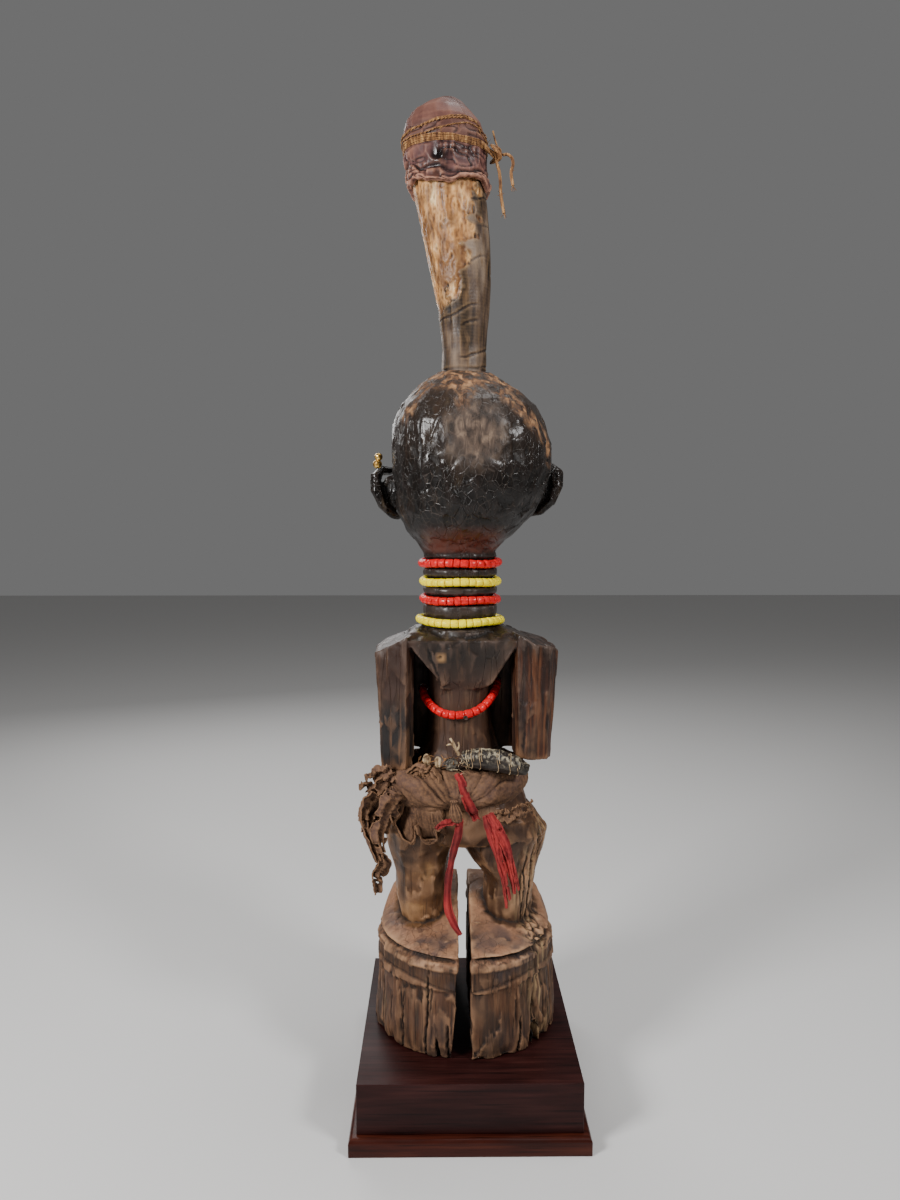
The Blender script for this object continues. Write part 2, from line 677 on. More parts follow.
p = spots_of(carving)
x, y, z = p.T
rubbed, hollow = wear_marks(carving, 0.10)
_, ring_shade, band = ring_cuts(p)
cracked = eased(crack_depth(p), 0.0005, 0.0018)
dark = np.maximum.reduce([cracked, 0.8 * hollow**2, 0.9 * ring_shade, 0.35 * band])
marked(carving, "marks", rubbed, eaten_share(p), dark)

behind = eased(y, -0.02, 0.01)
crust = eased(z + 0.006 * clouds(p, 0.012, 42), 0.664, 0.678)
for share, line, near, far in (
    (1.0, ((-18, 40, 676), (-36, 50, 664), (-52, 48, 648), (-64, 36, 632), (-72, 24, 612)), 0.005, 0.013),
    (0.9, ((40, 38, 674), (52, 40, 662), (58, 40, 648)), 0.005, 0.012),
    (0.8, ((8, 34, 678), (2, 50, 666), (6, 58, 654)), 0.004, 0.012),
):
    crust = np.maximum(crust, share * nearness(p, line, near, far))
matt = behind * np.exp(-((((x + 0.004) / 0.027) ** 2 + ((z - 0.628) / 0.027) ** 2) ** 2))
buttock = 0.9 * nearness(p, ((-1, 52, 268), (-8, 52, 270), (-17, 52, 274)), 0.008, 0.018, (1.0, 0.5, 1.0))
matt = np.maximum(matt, buttock * eased(-x, -0.010, -0.002) * (z < 0.30))
nape = behind * eased(z, 0.521, 0.527) * (1.0 - eased(z, 0.536, 0.552))
nape = nape * (1.0 - eased(np.abs(x - 0.004), 0.025, 0.045))
marked(carving, "zones", crust * behind + crust * (1 - behind) * 0.7, matt, nape)

left_leg = np.hypot((x - 0.0445) / 0.0265, (y + 0.001) / 0.0345)
right_leg = np.hypot((x + 0.0415) / 0.0275, (y + 0.001) / 0.0345)
from_axis = np.minimum(left_leg, right_leg)
leg = np.maximum(1.0 - eased(from_axis, 1.02, 1.08), eased(z, 0.196, 0.206)) * eased(z, BASE_TOP, 0.164)
leg *= 1.0 - eased(z, 0.312, 0.330)
arms_level = eased(z, 0.325, 0.332) * (1.0 - eased(z, 0.440, 0.450))
right_arm = arms_level * eased(-x, 0.037, 0.043)
left_arm = arms_level * eased(x, 0.046, 0.052)
marked(carving, "places", leg, right_arm, left_arm)

wood, tree, shader = finish("oiled and weathered wood", 0.45)
shader.inputs["Specular IOR Level"].default_value = 0.32
edges, eaten_part, dark_part = marks_of(tree, "marks")
crust_part, matt_part, nape_part = marks_of(tree, "zones")
leg_part, right_arm_part, left_arm_part = marks_of(tree, "places")
coords = tree.nodes.new("ShaderNodeTexCoord")
place = tree.nodes.new("ShaderNodeSeparateXYZ")
tree.links.new(coords.outputs["Object"], place.inputs["Vector"])
side, depth, height = place.outputs
level = worked("ADD", height, times(pattern(tree, 26.0, detail=4.0), 0.016))
level = worked("SUBTRACT", level, 0.008)
tones = ramp(level, (
    (0.060, (0.060, 0.024, 0.011)), (0.110, (0.078, 0.032, 0.014)), (0.148, (0.098, 0.042, 0.019)),
    (0.158, (0.240, 0.118, 0.066)), (0.178, (0.285, 0.142, 0.080)), (0.205, (0.130, 0.052, 0.018)),
    (0.260, (0.070, 0.028, 0.012)), (0.290, (0.050, 0.021, 0.010)), (0.330, (0.040, 0.017, 0.009)),
    (0.360, (0.058, 0.026, 0.014)), (0.395, (0.040, 0.019, 0.012)), (0.425, (0.013, 0.0085, 0.0065)),
    (0.460, (0.018, 0.012, 0.009)), (0.500, (0.011, 0.007, 0.005)), (0.560, (0.0030, 0.0022, 0.0018)),
    (0.595, (0.0055, 0.0040, 0.0032)), (0.635, (0.018, 0.012, 0.009)), (0.690, (0.032, 0.020, 0.013)),
))
grain = pattern(tree, 95.0, (2.2, 2.2, 0.16), detail=5.0, warp=0.2)
fine_grain = pattern(tree, 330.0, (1.6, 1.6, 0.10), detail=3.0)
mottle = pattern(tree, 46.0, detail=6.0, warp=0.3)

# Legs: golden where hands have polished them, darker upwards and on the right one's inner side.
golden = ramp(mottle, (
    (0.32, (0.030, 0.012, 0.005)), (0.48, (0.092, 0.038, 0.013)),
    (0.60, (0.150, 0.068, 0.024)), (0.74, (0.310, 0.165, 0.066)),
))
leg_tone = layered(
    golden,
    ((0.060, 0.028, 0.013), ramp(level, ((0.200, 0.0), (0.235, 0.55), (0.290, 0.9)))),
    ((0.040, 0.017, 0.009), ramp(side, ((-0.030, 0.78), (-0.010, 0.0)))),
)

# Arms: reddish brown with bright streaks on the right, browner and then black on the left.
streaked = ramp(grain, (
    (0.34, (0.005, 0.0020, 0.0016)), (0.50, (0.024, 0.0068, 0.0030)), (0.64, (0.092, 0.028, 0.009))
))
left_tone = ramp(level, (
    (0.350, (0.0065, 0.0050, 0.0048)), (0.378, (0.012, 0.0075, 0.006)),
    (0.392, (0.029, 0.0105, 0.0050)), (0.430, (0.024, 0.0085, 0.0040)),
))
left_tone = laid_over(left_tone, (0.110, 0.050, 0.023), ramp(grain, ((0.58, 0.0), (0.72, 0.55))))

# Grain: dark lines in the hollows of it and dusty light ones on its crests, most of all low down,
# with soot on the base, a grey bloom on its upper side and fine splits.
low_down = ramp(level, (
    (0.152, 1.0), (0.165, 0.30), (0.300, 0.20), (0.340, 0.40), (0.440, 0.32), (0.480, 0.10)
))
soot = ramp(pattern(tree, 24.0, (1.0, 1.0, 0.5), detail=6.0), ((0.49, 0.0), (0.60, 0.75)))
bloom = ramp(pattern(tree, 30.0, detail=6.0), ((0.47, 0.0), (0.58, 0.85)))
bloom_level = ramp(level, ((0.120, 0.25), (0.150, 1.0), (0.166, 1.0), (0.174, 0.0)))
splits = ramp(pattern(tree, 115.0, (1.0, 1.0, 0.07), (0.02, 0.01, 0.0), kind="splits"), (
    (0.0, 1.0), (0.040, 0.0)
))
splits = times(splits, ramp(pattern(tree, 40.0, detail=2.0), ((0.46, 0.0), (0.56, 0.8))))

# Head: a matt brown field behind, a tan crust round the horn, and thin light lines where blade cuts
# meet. The matt finish also gives the paler patch on the right buttock.
crust_grain = pattern(tree, 90.0, (1.4, 1.4, 0.7), detail=8.0, warp=0.8)
matt_tone = ramp(crust_grain, (
    (0.36, (0.026, 0.017, 0.012)), (0.50, (0.085, 0.056, 0.040)), (0.64, (0.190, 0.130, 0.090))
))
matt_tone = laid_over(matt_tone, (0.360, 0.205, 0.120), ramp(level, ((0.300, 1.0), (0.330, 0.0))))
crust_share = times(crust_part, ramp(crust_grain, ((0.40, 0.0), (0.52, 1.0))))
on_head = ramp(level, ((0.535, 0.0), (0.560, 1.0)))
facet_lines = ramp(pattern(tree, 1.0 / 0.0062, (1.0, 1.0, 0.75), (0.3, 0.2, 0.5), kind="splits"), (
    (0.0, 1.0), (0.035, 0.0)
))
facet_lines = times(facet_lines, on_head)

# Eaten wood, rubbed edges, and the chip on the back's upper edge.
splinters = ramp(pattern(tree, 150.0, (1.6, 1.6, 0.20), detail=4.0), ((0.50, 0.0), (0.66, 1.0)))
raw = laid_over((0.105, 0.055, 0.028), (0.500, 0.330, 0.165), splinters)
worn = ramp(pattern(tree, 60.0, detail=4.0), ((0.36, 0.1), (0.56, 1.0)))
rub_tone = ramp(level, (
    (0.060, (0.210, 0.108, 0.055)), (0.140, (0.260, 0.140, 0.075)), (0.155, (0.420, 0.240, 0.130)),
    (0.300, (0.240, 0.115, 0.050)), (0.400, (0.120, 0.065, 0.040)), (0.450, (0.075, 0.052, 0.042)),
    (0.540, (0.018, 0.012, 0.010)),
))
chip_part = times(
    ramp(height, ((0.4235, 0.0), (0.4260, 1.0), (0.4300, 1.0), (0.4325, 0.0))),
    ramp(side, ((0.0215, 0.0), (0.0235, 0.9), (0.0285, 0.9), (0.0305, 0.0))),
    ramp(depth, ((0.020, 0.0), (0.030, 1.0))),
)

tones = layered(
    tones,
    (leg_tone, leg_part),
    (streaked, right_arm_part, ramp(level, ((0.335, 1.0), (0.425, 1.0), (0.440, 0.4)))),
    (left_tone, left_arm_part),
    ((0.014, 0.0075, 0.0050), low_down, ramp(grain, ((0.34, 0.85), (0.50, 0.0)))),
    ((0.020, 0.011, 0.0075), low_down, ramp(fine_grain, ((0.36, 0.6), (0.47, 0.0)))),
    ((0.230, 0.118, 0.058), low_down, ramp(grain, ((0.56, 0.0), (0.72, 0.45)))),
    ((0.030, 0.018, 0.013), soot, ramp(level, ((0.060, 1.0), (0.148, 0.9), (0.158, 0.0)))),
    ((0.058, 0.042, 0.042), bloom, bloom_level, worked("SUBTRACT", 1.0, leg_part)),
    ((0.006, 0.004, 0.003), splits, ramp(level, ((0.150, 1.0), (0.165, 0.25), (0.450, 0.5), (0.480, 0.0)))),
    (matt_tone, matt_part),
    (ramp(crust_grain, ((0.50, (0.120, 0.055, 0.026)), (0.66, (0.400, 0.215, 0.100)))), crust_share),
    ((0.075, 0.020, 0.010), nape_part),
    ((0.300, 0.165, 0.070), chip_part),
    ((0.085, 0.064, 0.052), facet_lines, ramp(mottle, ((0.40, 0.1), (0.60, 0.8)))),
    (raw, eaten_part, 0.75),
    (rub_tone, edges, worn, 0.85),
    ((0.0040, 0.0028, 0.0022), dark_part),
)
gloss = ramp(level, (
    (0.060, 0.80), (0.150, 0.70), (0.185, 0.46), (0.220, 0.36), (0.300, 0.44), (0.340, 0.60),
    (0.400, 0.56), (0.430, 0.40), (0.480, 0.30), (0.540, 0.36), (0.585, 0.23), (0.640, 0.25), (0.680, 0.45),
))
blotted = ramp(pattern(tree, 75.0, detail=6.0), ((0.52, 0.0), (0.75, 0.5)))
dull_part = worked("MAXIMUM", worked("MAXIMUM", matt_part, crust_share), dark_part)
gloss = layered(
    gloss,
    ((0.72, 0.72, 0.72), blotted, worked("SUBTRACT", 1.0, times(on_head, 0.7))),
    ((0.82, 0.82, 0.82), dull_part),
)
head_share = ramp(level, (
    (0.150, 0.45), (0.200, 0.20), (0.300, 0.20), (0.440, 0.25), (0.535, 0.7), (0.560, 1.0)
))
cuts = times(flat_cuts(tree, (0.0105, 0.0105, 0.0115)), head_share)
small_cuts = times(flat_cuts(tree, (0.0030, 0.0030, 0.0052)), head_share)
hatch = pattern(tree, 240.0, (1.0, 1.0, 0.14), (0.0, 0.55, 0.35), detail=2.0)
dressed(shader, tones, gloss, (
    (cuts, 1.5), (small_cuts, 0.16), (facet_lines, -0.14), (times(grain, low_down), 0.30), (splits, -0.5),
    (times(hatch, low_down), 0.12),
    (pattern(tree, 700.0, detail=3.0), 0.07),
))
settled(carving, wood, "carved_wood", "carved_figure")


# Horn: one antelope horn, set mouth upward in the crown. Its outer sheath shows fine growth rings and
# slanting chaps, and where it has flaked off under the cap the golden fibres of the layer below lie bare.
RING_PITCH = 0.0031
CHAP_PITCH = 0.0135
horn = merged_copy("crown_horn", "crown_horn_sheath")
applied(horn, "REMESH", mode="VOXEL", voxel_size=0.0011)
applied(horn, "SMOOTH", factor=0.5, iterations=4)
p, n = spots_of(horn), facings_of(horn)


def bared_share(p):
    """1 where the horn's sheath has flaked away: widest under the cap, and narrow lower down."""
    heights, edges = (0.735, 0.752, 0.775, 0.800, 0.830, 0.860), (0.034, 0.016, 0.006, -0.002, -0.008, -0.013)
    border = np.interp(p[:, 2], heights, edges)
    lean = np.interp(p[:, 2], (0.68, 0.75, 0.90), (0.004, 0.004, 0.022))
    bearing = np.arctan2(p[:, 1], p[:, 0] - lean)
    facing = eased(np.cos(bearing - math.radians(62.0)), -0.15, 0.15)
    ragged = p[:, 0] + 0.010 * clouds(p, (0.010, 0.010, 0.008), 31) + 0.005 * clouds(p, 0.0035, 32)
    rear = 0.85 * eased(clouds(p, (0.014, 0.014, 0.03), 33), 0.15, 0.35) * eased(p[:, 2], 0.78, 0.82)
    front = eased(ragged - border, -0.001, 0.003) * facing * eased(p[:, 2], 0.735, 0.755)
    return np.maximum(front, rear * (p[:, 1] < 0))


bared = bared_share(p)
ringed = np.sin(p[:, 2] * 2 * math.pi / RING_PITCH + 2.0 * clouds(p, 0.012, 34))
flakes = np.abs(clouds(p, (0.0032, 0.0032, 0.0085), 35)) + 0.5 * np.abs(clouds(p, 0.0022, 36))
move = -0.0004 + 0.00004 * ringed * (1 - bared) + 0.0003 * clouds(p, (0.006, 0.006, 0.03), 37)
move -= bared * (0.0006 + 0.0011 * flakes)
move += 0.0002 * clouds(p, (0.0028, 0.0028, 0.020), 38) * (1 - bared)
slant = p[:, 2] + 0.35 * p[:, 0] + 0.0025 * clouds(p, (0.012, 0.012, 0.02), 39)
chaps = np.clip(np.sin(slant * 2 * math.pi / CHAP_PITCH) * 12.0 - 10.5, 0.0, 1.0)
chaps = chaps * eased(clouds(p, (0.020, 0.020, 0.010), 40), -0.1, 0.25)
move -= 0.0006 * chaps * (1 - bared)
foot_seam = np.exp(-((p[:, 2] - 0.6925) / 0.0016) ** 2)
move -= 0.0007 * foot_seam
p = p + n * move[:, None]
moved_to(horn, p)
applied(horn, "DECIMATE", ratio=0.75)
p = spots_of(horn)
rubbed, hollow = wear_marks(horn, 0.14)
marked(horn, "marks", rubbed, bared_share(p), hollow)
horn.data.shade_smooth()

horn_skin, tree, shader = finish("weathered horn", 0.5)
edges, bare_part, dark_part = marks_of(tree, "marks")
long_fibres = pattern(tree, 170.0, (1.0, 1.0, 0.22), (0.0, 0.25, 0.0), detail=5.0, warp=0.4)
clouded = pattern(tree, 46.0, (1.4, 1.4, 0.5), detail=6.0)
skin = ramp(clouded, (
    (0.36, (0.012, 0.007, 0.005)), (0.50, (0.062, 0.038, 0.026)), (0.64, (0.170, 0.122, 0.088))
))
skin = laid_over(skin, (0.150, 0.086, 0.040), ramp(long_fibres, ((0.56, 0.0), (0.72, 0.6))))
golden = ramp(long_fibres, (
    (0.28, (0.090, 0.036, 0.013)), (0.43, (0.320, 0.140, 0.046)),
    (0.58, (0.600, 0.320, 0.120)), (0.70, (0.900, 0.660, 0.350)),
))
stains = ramp(pattern(tree, 62.0, (1.0, 1.0, 0.8), detail=7.0), ((0.45, 0.0), (0.58, 0.85)))
tones = layered(
    skin,
    (laid_over(golden, (0.130, 0.056, 0.022), stains), bare_part),
    ((0.50, 0.31, 0.15), edges, 0.45),
    ((0.012, 0.006, 0.004), dark_part, 0.9),
)
gloss = ramp(pattern(tree, 40.0, detail=5.0), ((0.35, 0.36), (0.68, 0.70)))
pits = pattern(tree, 420.0, (1.0, 1.0, 0.5), detail=3.0)
dressed(shader, tones, gloss, ((long_fibres, 0.45), (pits, 0.16)))
settled(horn, horn_skin, "horn", "crown_horn")


# Cap: a piece of raw hide pulled over the horn's mouth while wet and tied down. It has dried to a
# smooth dome above the binding and a creased skirt below it, with a rolled, ragged hem.
CAP_HEM = 0.8563
CAP_MIDDLE = 0.0185
CAP_RADIUS = 0.036
HEM_TURNS = (-3.14, -2.6, -1.8, -0.9, 0.0, 0.12, 0.41, 0.83, 1.0, 1.32, 1.66, 1.9, 2.3, 2.55, 2.8, 2.94, 3.14)
HEM_HEIGHTS = (857, 854, 858, 853, 864, 859, 857, 858, 854, 852, 852, 855, 859, 857, 850, 857, 857)
CREVICE_TURNS = (-3.14, -1.5, 0.0, 0.2, 0.57, 0.83, 1.14, 1.32, 1.56, 1.9, 2.48, 3.14)
CREVICE_HEIGHTS = (866, 864, 874, 877, 873, 865, 866, 866, 862, 861, 866, 866)
BAND_HEIGHT = 0.8893
cap = merged_copy("horn_cap", "horn_cap_hide")
applied(cap, "REMESH", mode="VOXEL", voxel_size=0.0010)
applied(cap, "SMOOTH", factor=0.5, iterations=3)
p, n = spots_of(cap), facings_of(cap)
outer = ((p[:, 0] - CAP_MIDDLE) * n[:, 0] + p[:, 1] * n[:, 1] > 0) | (n[:, 2] > 0.25)
bearing = np.arctan2(p[:, 1], p[:, 0] - CAP_MIDDLE)
round_it = np.column_stack([np.cos(bearing) * CAP_RADIUS, np.sin(bearing) * CAP_RADIUS, p[:, 2]])
low_part = 1.0 - eased(p[:, 2], 0.883, 0.889)
hem_at = np.interp(bearing, HEM_TURNS, HEM_HEIGHTS) / 1000
crevice_at = np.interp(bearing, CREVICE_TURNS, CREVICE_HEIGHTS) / 1000
crevice_at = crevice_at + 0.0008 * clouds(round_it, (0.006, 0.006, 0.5), 50)
hem_part = 1.0 - eased(p[:, 2], CAP_HEM + 0.004, CAP_HEM + 0.012)
crevice = np.exp(-(((p[:, 2] + hem_part * (hem_at - CAP_HEM) - crevice_at) / 0.0014) ** 2))
cuff = 1.0 - eased(p[:, 2], crevice_at - 0.002, crevice_at)
pleats = np.abs(clouds(round_it, (0.0090, 0.0090, 0.020), 51)) ** 0.7
pleats = pleats + 0.5 * np.abs(clouds(round_it, (0.0040, 0.0040, 0.007), 52))
creases = 1.0 - np.clip(np.abs(clouds(round_it, (0.013, 0.013, 0.0045), 53)) * 4.0, 0.0, 1.0)
between = eased(p[:, 2], 0.8915, 0.8935) * (1.0 - eased(p[:, 2], 0.902, 0.908))
slack = np.abs(clouds(round_it, (0.020, 0.020, 0.010), 54))
move = -0.0003 - low_part * 0.0019 * np.clip(pleats, 0.0, 1.0) - (1 - low_part) * 0.0010 * slack
move -= 0.0011 * creases * np.maximum(low_part, 0.9 * between) + 0.0020 * crevice
move += cuff * (0.0010 + 0.0011 * clouds(round_it, (0.0045, 0.0045, 0.0035), 56))
opening = np.exp(-(((bearing - 0.20) / 0.10) ** 2))
opening = opening * eased(p[:, 2], 0.859, 0.863) * (1.0 - eased(p[:, 2], 0.874, 0.879))
move -= 0.0030 * opening + 0.0014 * np.exp(-(((p[:, 2] - BAND_HEIGHT) / 0.0042) ** 2))
p = p + n * np.where(outer, move, -0.0001)[:, None]
p[:, 2] += hem_part * (hem_at - CAP_HEM + 0.0016 * clouds(round_it, (0.005, 0.005, 0.2), 55))
tilt = eased(p[:, 2], 0.905, 0.940)
p[:, 2] -= tilt * 0.05 * np.abs(p[:, 0] - 0.012)
moved_to(cap, p)
rubbed, hollow = wear_marks(cap, 0.12)
sheltered = np.maximum.reduce([hollow, 0.9 * crevice * outer, opening])
marked(cap, "marks", rubbed, low_part, sheltered)
from_pitch = ((p[:, 0] - 0.027) / 0.0075) ** 2 + ((p[:, 2] - 0.8745) / 0.0055) ** 2
pitch = np.exp(-from_pitch ** 2) * (p[:, 1] > 0)
marked(cap, "zones", pitch, cuff * low_part, between)
cap.data.shade_smooth()

hide, tree, shader = finish("dried purplish hide", 0.55)
edges, skirt_part, dark_part = marks_of(tree, "marks")
blotches = pattern(tree, 38.0, detail=6.0, warp=0.4)
dome_tone = ramp(blotches, (
    (0.30, (0.048, 0.018, 0.014)), (0.50, (0.102, 0.040, 0.031)), (0.70, (0.180, 0.080, 0.056))
))
skirt_tone = ramp(blotches, (
    (0.34, (0.022, 0.011, 0.012)), (0.50, (0.105, 0.044, 0.040)), (0.68, (0.220, 0.095, 0.066))
))
tones = laid_over(dome_tone, skirt_tone, skirt_part)
pitch_part, cuff_part, creased_part = marks_of(tree, "zones")
tones = layered(
    tones,
    ((0.120, 0.050, 0.034), cuff_part, 0.5),
    ((0.070, 0.032, 0.026), creased_part, 0.6),
    ((0.40, 0.20, 0.13), edges, worked("ADD", 0.35, times(cuff_part, 0.45))),
    ((0.008, 0.004, 0.004), dark_part),
    ((0.006, 0.004, 0.004), pitch_part),
)
gloss = laid_over(ramp(blotches, ((0.34, 0.26), (0.48, 0.56), (0.70, 0.70))), (0.18, 0.18, 0.18), pitch_part)
dressed(shader, tones, gloss, ((pattern(tree, 150.0, detail=5.0), 0.45), (pattern(tree, 620.0), 0.10)))
settled(cap, hide, "hide", "horn_cap")


# Binding: a flat band of nine tan fibres and three thin braids above it, each a strand that lies on
# the hide, drawn together in a knot on the figure's right. Short broken fibres stand out of it.
BINDING_MIDDLE = 0.0196
BINDING_REACH = 0.039
KNOT = np.array([-0.0250, 0.0110, 0.8850])
BRAID_TURNS = (0.0, 0.72, 1.0, 1.35, 1.74, 2.07, 2.41, 2.65, 3.0, 3.9, 5.0, 6.29)
BRAID_HEIGHTS = (899, 900, 901, 904, 906, 908, 907, 902, 898, 901, 903, 899)


def round_cap(bearings, heights, proud):
    """Points outside the cap's hide at these bearings and heights, all in metres."""
    points = []
    for bearing, height in zip(bearings, heights):
        away = Vector((math.cos(bearing), math.sin(bearing), 0.0))
        middle = Vector((BINDING_MIDDLE, 0.0, height))
        found, spot, _, _ = cap.ray_cast(middle + away * 0.08, -away)
        reach = (spot - middle).length if found else BINDING_REACH
        points.append(middle + away * (reach + proud))
    return np.array(points)


turns = np.linspace(0.0, 2 * math.pi, 97)
wound = []
for k in range(9):
    rise = -0.0025 + 0.0050 * k / 8
    heights = BAND_HEIGHT + rise + 0.0009 * np.sin(turns * 2 + 1.0) + 0.00035 * np.sin(turns * 5 + 1.7 * k)
    wound.append(strand("band_%d" % k, round_cap(turns, heights, 0.0003 + 0.0002 * (k % 3)), 0.00052, 1))
braid_line = np.interp(turns, BRAID_TURNS, BRAID_HEIGHTS) / 1000
fine_turns = np.linspace(0.0, 2 * math.pi, 385)
outward = np.column_stack([np.cos(fine_turns), np.sin(fine_turns), np.zeros(385)])
for k, (offset, wave, radius) in enumerate((
    (0.0, 0.0002, 0.00062), (-0.0062, 0.0018, 0.00042), (0.0012, 0.0007, 0.00040),
)):
    laid = round_cap(turns, braid_line + offset + wave * np.sin(turns * 3 + k), 0.0005)
    laid = np.column_stack([np.interp(fine_turns, turns, laid[:, i]) for i in range(3)])
    for side in (0.0, math.pi):
        twist = fine_turns * 34 + side
        coil = outward * np.cos(twist)[:, None] + np.array([0.0, 0.0, 1.0]) * np.sin(twist)[:, None]
        wound.append(strand("braid_%d_%d" % (k, round(side)), laid + coil * radius * 0.8, radius, 1))
loops = np.linspace(0.0, 2 * math.pi, 61)
for k, (size, lean, thick) in enumerate((
    (0.0056, 0.2, 0.0013), (0.0043, 1.3, 0.0011), (0.0037, 2.3, 0.0011), (0.0066, 2.9, 0.0009),
    (0.0060, 0.9, 0.0008),
)):
    ring = np.column_stack([0.55 * np.sin(loops * 2 + lean), np.cos(loops), np.sin(loops + lean)]) * size
    wound.append(strand("knot_%d" % k, KNOT + ring + (0.0006 * k - 0.001, 0.0, 0.0), thick, 2))
for k, (route, thick) in enumerate((
    (((-6, 26, 890.5), (-13, 20, 889.5), (-18, 15, 887.5), (-24, 12, 885)), 1.5),
    (((-13, 20, 888), (-18, 16, 885), (-23, 12, 882)), 1.1),
    (((-19, 2, 890), (-21, 6, 889), (-25, 10, 887), (-31, 11, 884.6)), 1.1),
    (((-24, 12, 887), (-25, 11.5, 881), (-26.2, 11.2, 875.4)), 1.3),
    (((-22, 12, 905), (-24, 9, 899), (-26, 10, 892), (-27, 11, 886)), 0.8),
)):
    wound.append(strand("tie_%d" % k, through(route, 6) / 1000, thick / 1000, 2))
luck = np.random.default_rng(61)
for k in range(26):
    a = luck.uniform(0, 2 * math.pi)
    foot = round_cap([a], [BAND_HEIGHT + luck.uniform(-0.004, 0.012)], 0.0002)[0]
    if k > 16:
        foot = KNOT + luck.normal(0.0, 0.002, 3)
    way = np.array([math.cos(a) * 0.25, math.sin(a) * 0.25, luck.normal(0.0, 0.5)]) + luck.normal(0.0, 0.45, 3)
    reach = luck.uniform(0.003, 0.0065)
    wound.append(wisp("whisker_%d" % k, foot, way, reach, luck.normal(0.0, 0.0005, 3), 0.00028))
binding = as_one_mesh("cap_binding_fibre", wound)
settled(binding, fibre, "fibre", "cap_binding")


# Beads: short cylinders of opaque red and yellow glass, cut from drawn cane and a little uneven,
# threaded on cotton. Four strings sit in the neck's grooves and one sags across the back.
BEAD_RADIUS = 0.0040
BEAD_LENGTH = 0.0072
BEAD_GAP = 0.00012
THREAD_RADIUS = 0.0009


def glass(name, deep, bright):
    """Opaque cane glass: an even colour with slight swirls and small pits."""
    material, tree, shader = finish(name, 0.16)
    tones = ramp(pattern(tree, 260.0, detail=3.0, warp=0.5), ((0.30, deep), (0.62, bright)))
    pits = ramp(pattern(tree, 620.0, detail=2.0), ((0.30, 0.6), (0.38, 0.0)))
    tones = laid_over(tones, tuple(c * 0.35 for c in deep), pits)
    gloss = ramp(pattern(tree, 380.0, detail=3.0), ((0.35, 0.12), (0.70, 0.34)))
    dressed(shader, tones, gloss, ((pattern(tree, 300.0, detail=3.0), 0.10),))
    return material


red_glass = glass("opaque red glass", (0.42, 0.006, 0.008), (0.74, 0.014, 0.016))
yellow_glass = glass("opaque yellow glass", (0.86, 0.64, 0.003), (0.98, 0.84, 0.008))
thread, tree, shader = finish("dark cotton thread", 0.9)
tones = ramp(pattern(tree, 900.0, detail=2.0), ((0.3, (0.02, 0.012, 0.01)), (0.7, (0.09, 0.06, 0.045))))
dressed(shader, tones)

bpy.ops.object.select_all(action="DESELECT")
bpy.ops.mesh.primitive_cylinder_add(vertices=14, radius=BEAD_RADIUS, depth=1.0, end_fill_type="TRIFAN")
bead = bpy.context.object
bead.scale.z = BEAD_LENGTH
bpy.ops.object.transform_apply(location=True, rotation=True, scale=True)
bpy.ops.object.mode_set(mode="EDIT")
bpy.ops.mesh.select_all(action="DESELECT")
bpy.ops.object.mode_set(mode="OBJECT")
for edge in bead.data.edges:
    first, last = (bead.data.vertices[i].co for i in edge.vertices)
    level = round(first.z, 5) == round(last.z, 5)
    edge.select = level and min(first.xy.length, last.xy.length) > BEAD_RADIUS * 0.9
bpy.ops.object.mode_set(mode="EDIT")
bpy.ops.mesh.bevel(offset=0.0011, segments=2, profile=0.5, affect="EDGES")
bpy.ops.object.mode_set(mode="OBJECT")
bead.data.shade_smooth()


def strung(name, line, glass_finish, seed):
    """Beads of uneven length along a closed line of points, joined with their thread."""
    luck = np.random.default_rng(seed)
    steps = np.linalg.norm(np.diff(line, axis=0), axis=1)
    along = np.concatenate([[0.0], np.cumsum(steps)])
    count = round(along[-1] / BEAD_LENGTH)
    lengths = luck.uniform(0.80, 1.18, count)
    lengths *= along[-1] / lengths.sum()
    parts = []
    start = 0.0
    for i, length in enumerate(lengths):
        near, middle, far = (
            np.array([np.interp(start + length * s, along, line[:, k]) for k in range(3)])
            for s in (0.25, 0.5, 0.75)
        )
        ahead = Vector(far - near).normalized() + Vector(luck.normal(0.0, 0.035, 3))
        turned = ahead.to_track_quat("Z", "X").to_matrix().to_4x4()
        turned = turned @ Matrix.Rotation(luck.uniform(0, 3), 4, "Z")
        wide = luck.uniform(0.93, 1.02)
        part = bead.copy()
        part.data = bead.data.copy()
        fitted = Matrix.Diagonal((wide, wide, (length - BEAD_GAP) / BEAD_LENGTH, 1.0))
        part.matrix_world = Matrix.Translation(middle) @ turned @ fitted
        part.data.materials.append(glass_finish)
        bpy.context.scene.collection.objects.link(part)
        parts.append(part)
        start += length
    inner = strand(name + "_thread", line[::2], THREAD_RADIUS, 1)
    inner.data.materials.append(thread)
    return as_one_mesh(name, parts + [inner])


NECK_MIDDLE = 0.0070
turns = np.linspace(0.0, 2 * math.pi, 145)
for name, height, reach, glass_finish, seed in (
    ("neck_beads_yellow_lower", 0.4595, 0.0388, yellow_glass, 1),
    ("neck_beads_red_lower", 0.4795, 0.0353, red_glass, 2),
    ("neck_beads_yellow_upper", 0.4965, 0.0353, yellow_glass, 3),
    ("neck_beads_red_upper", 0.5140, 0.0363, red_glass, 4),
):
    wavy = height + 0.0006 * np.sin(turns * 3 + seed)
    line = np.column_stack([NECK_MIDDLE + reach * np.cos(turns), reach * np.sin(turns), wavy])
    string = strung(name + "_glass", line, glass_finish, seed)
    settled(string, None, name.split("_")[2] + "_glass", name)

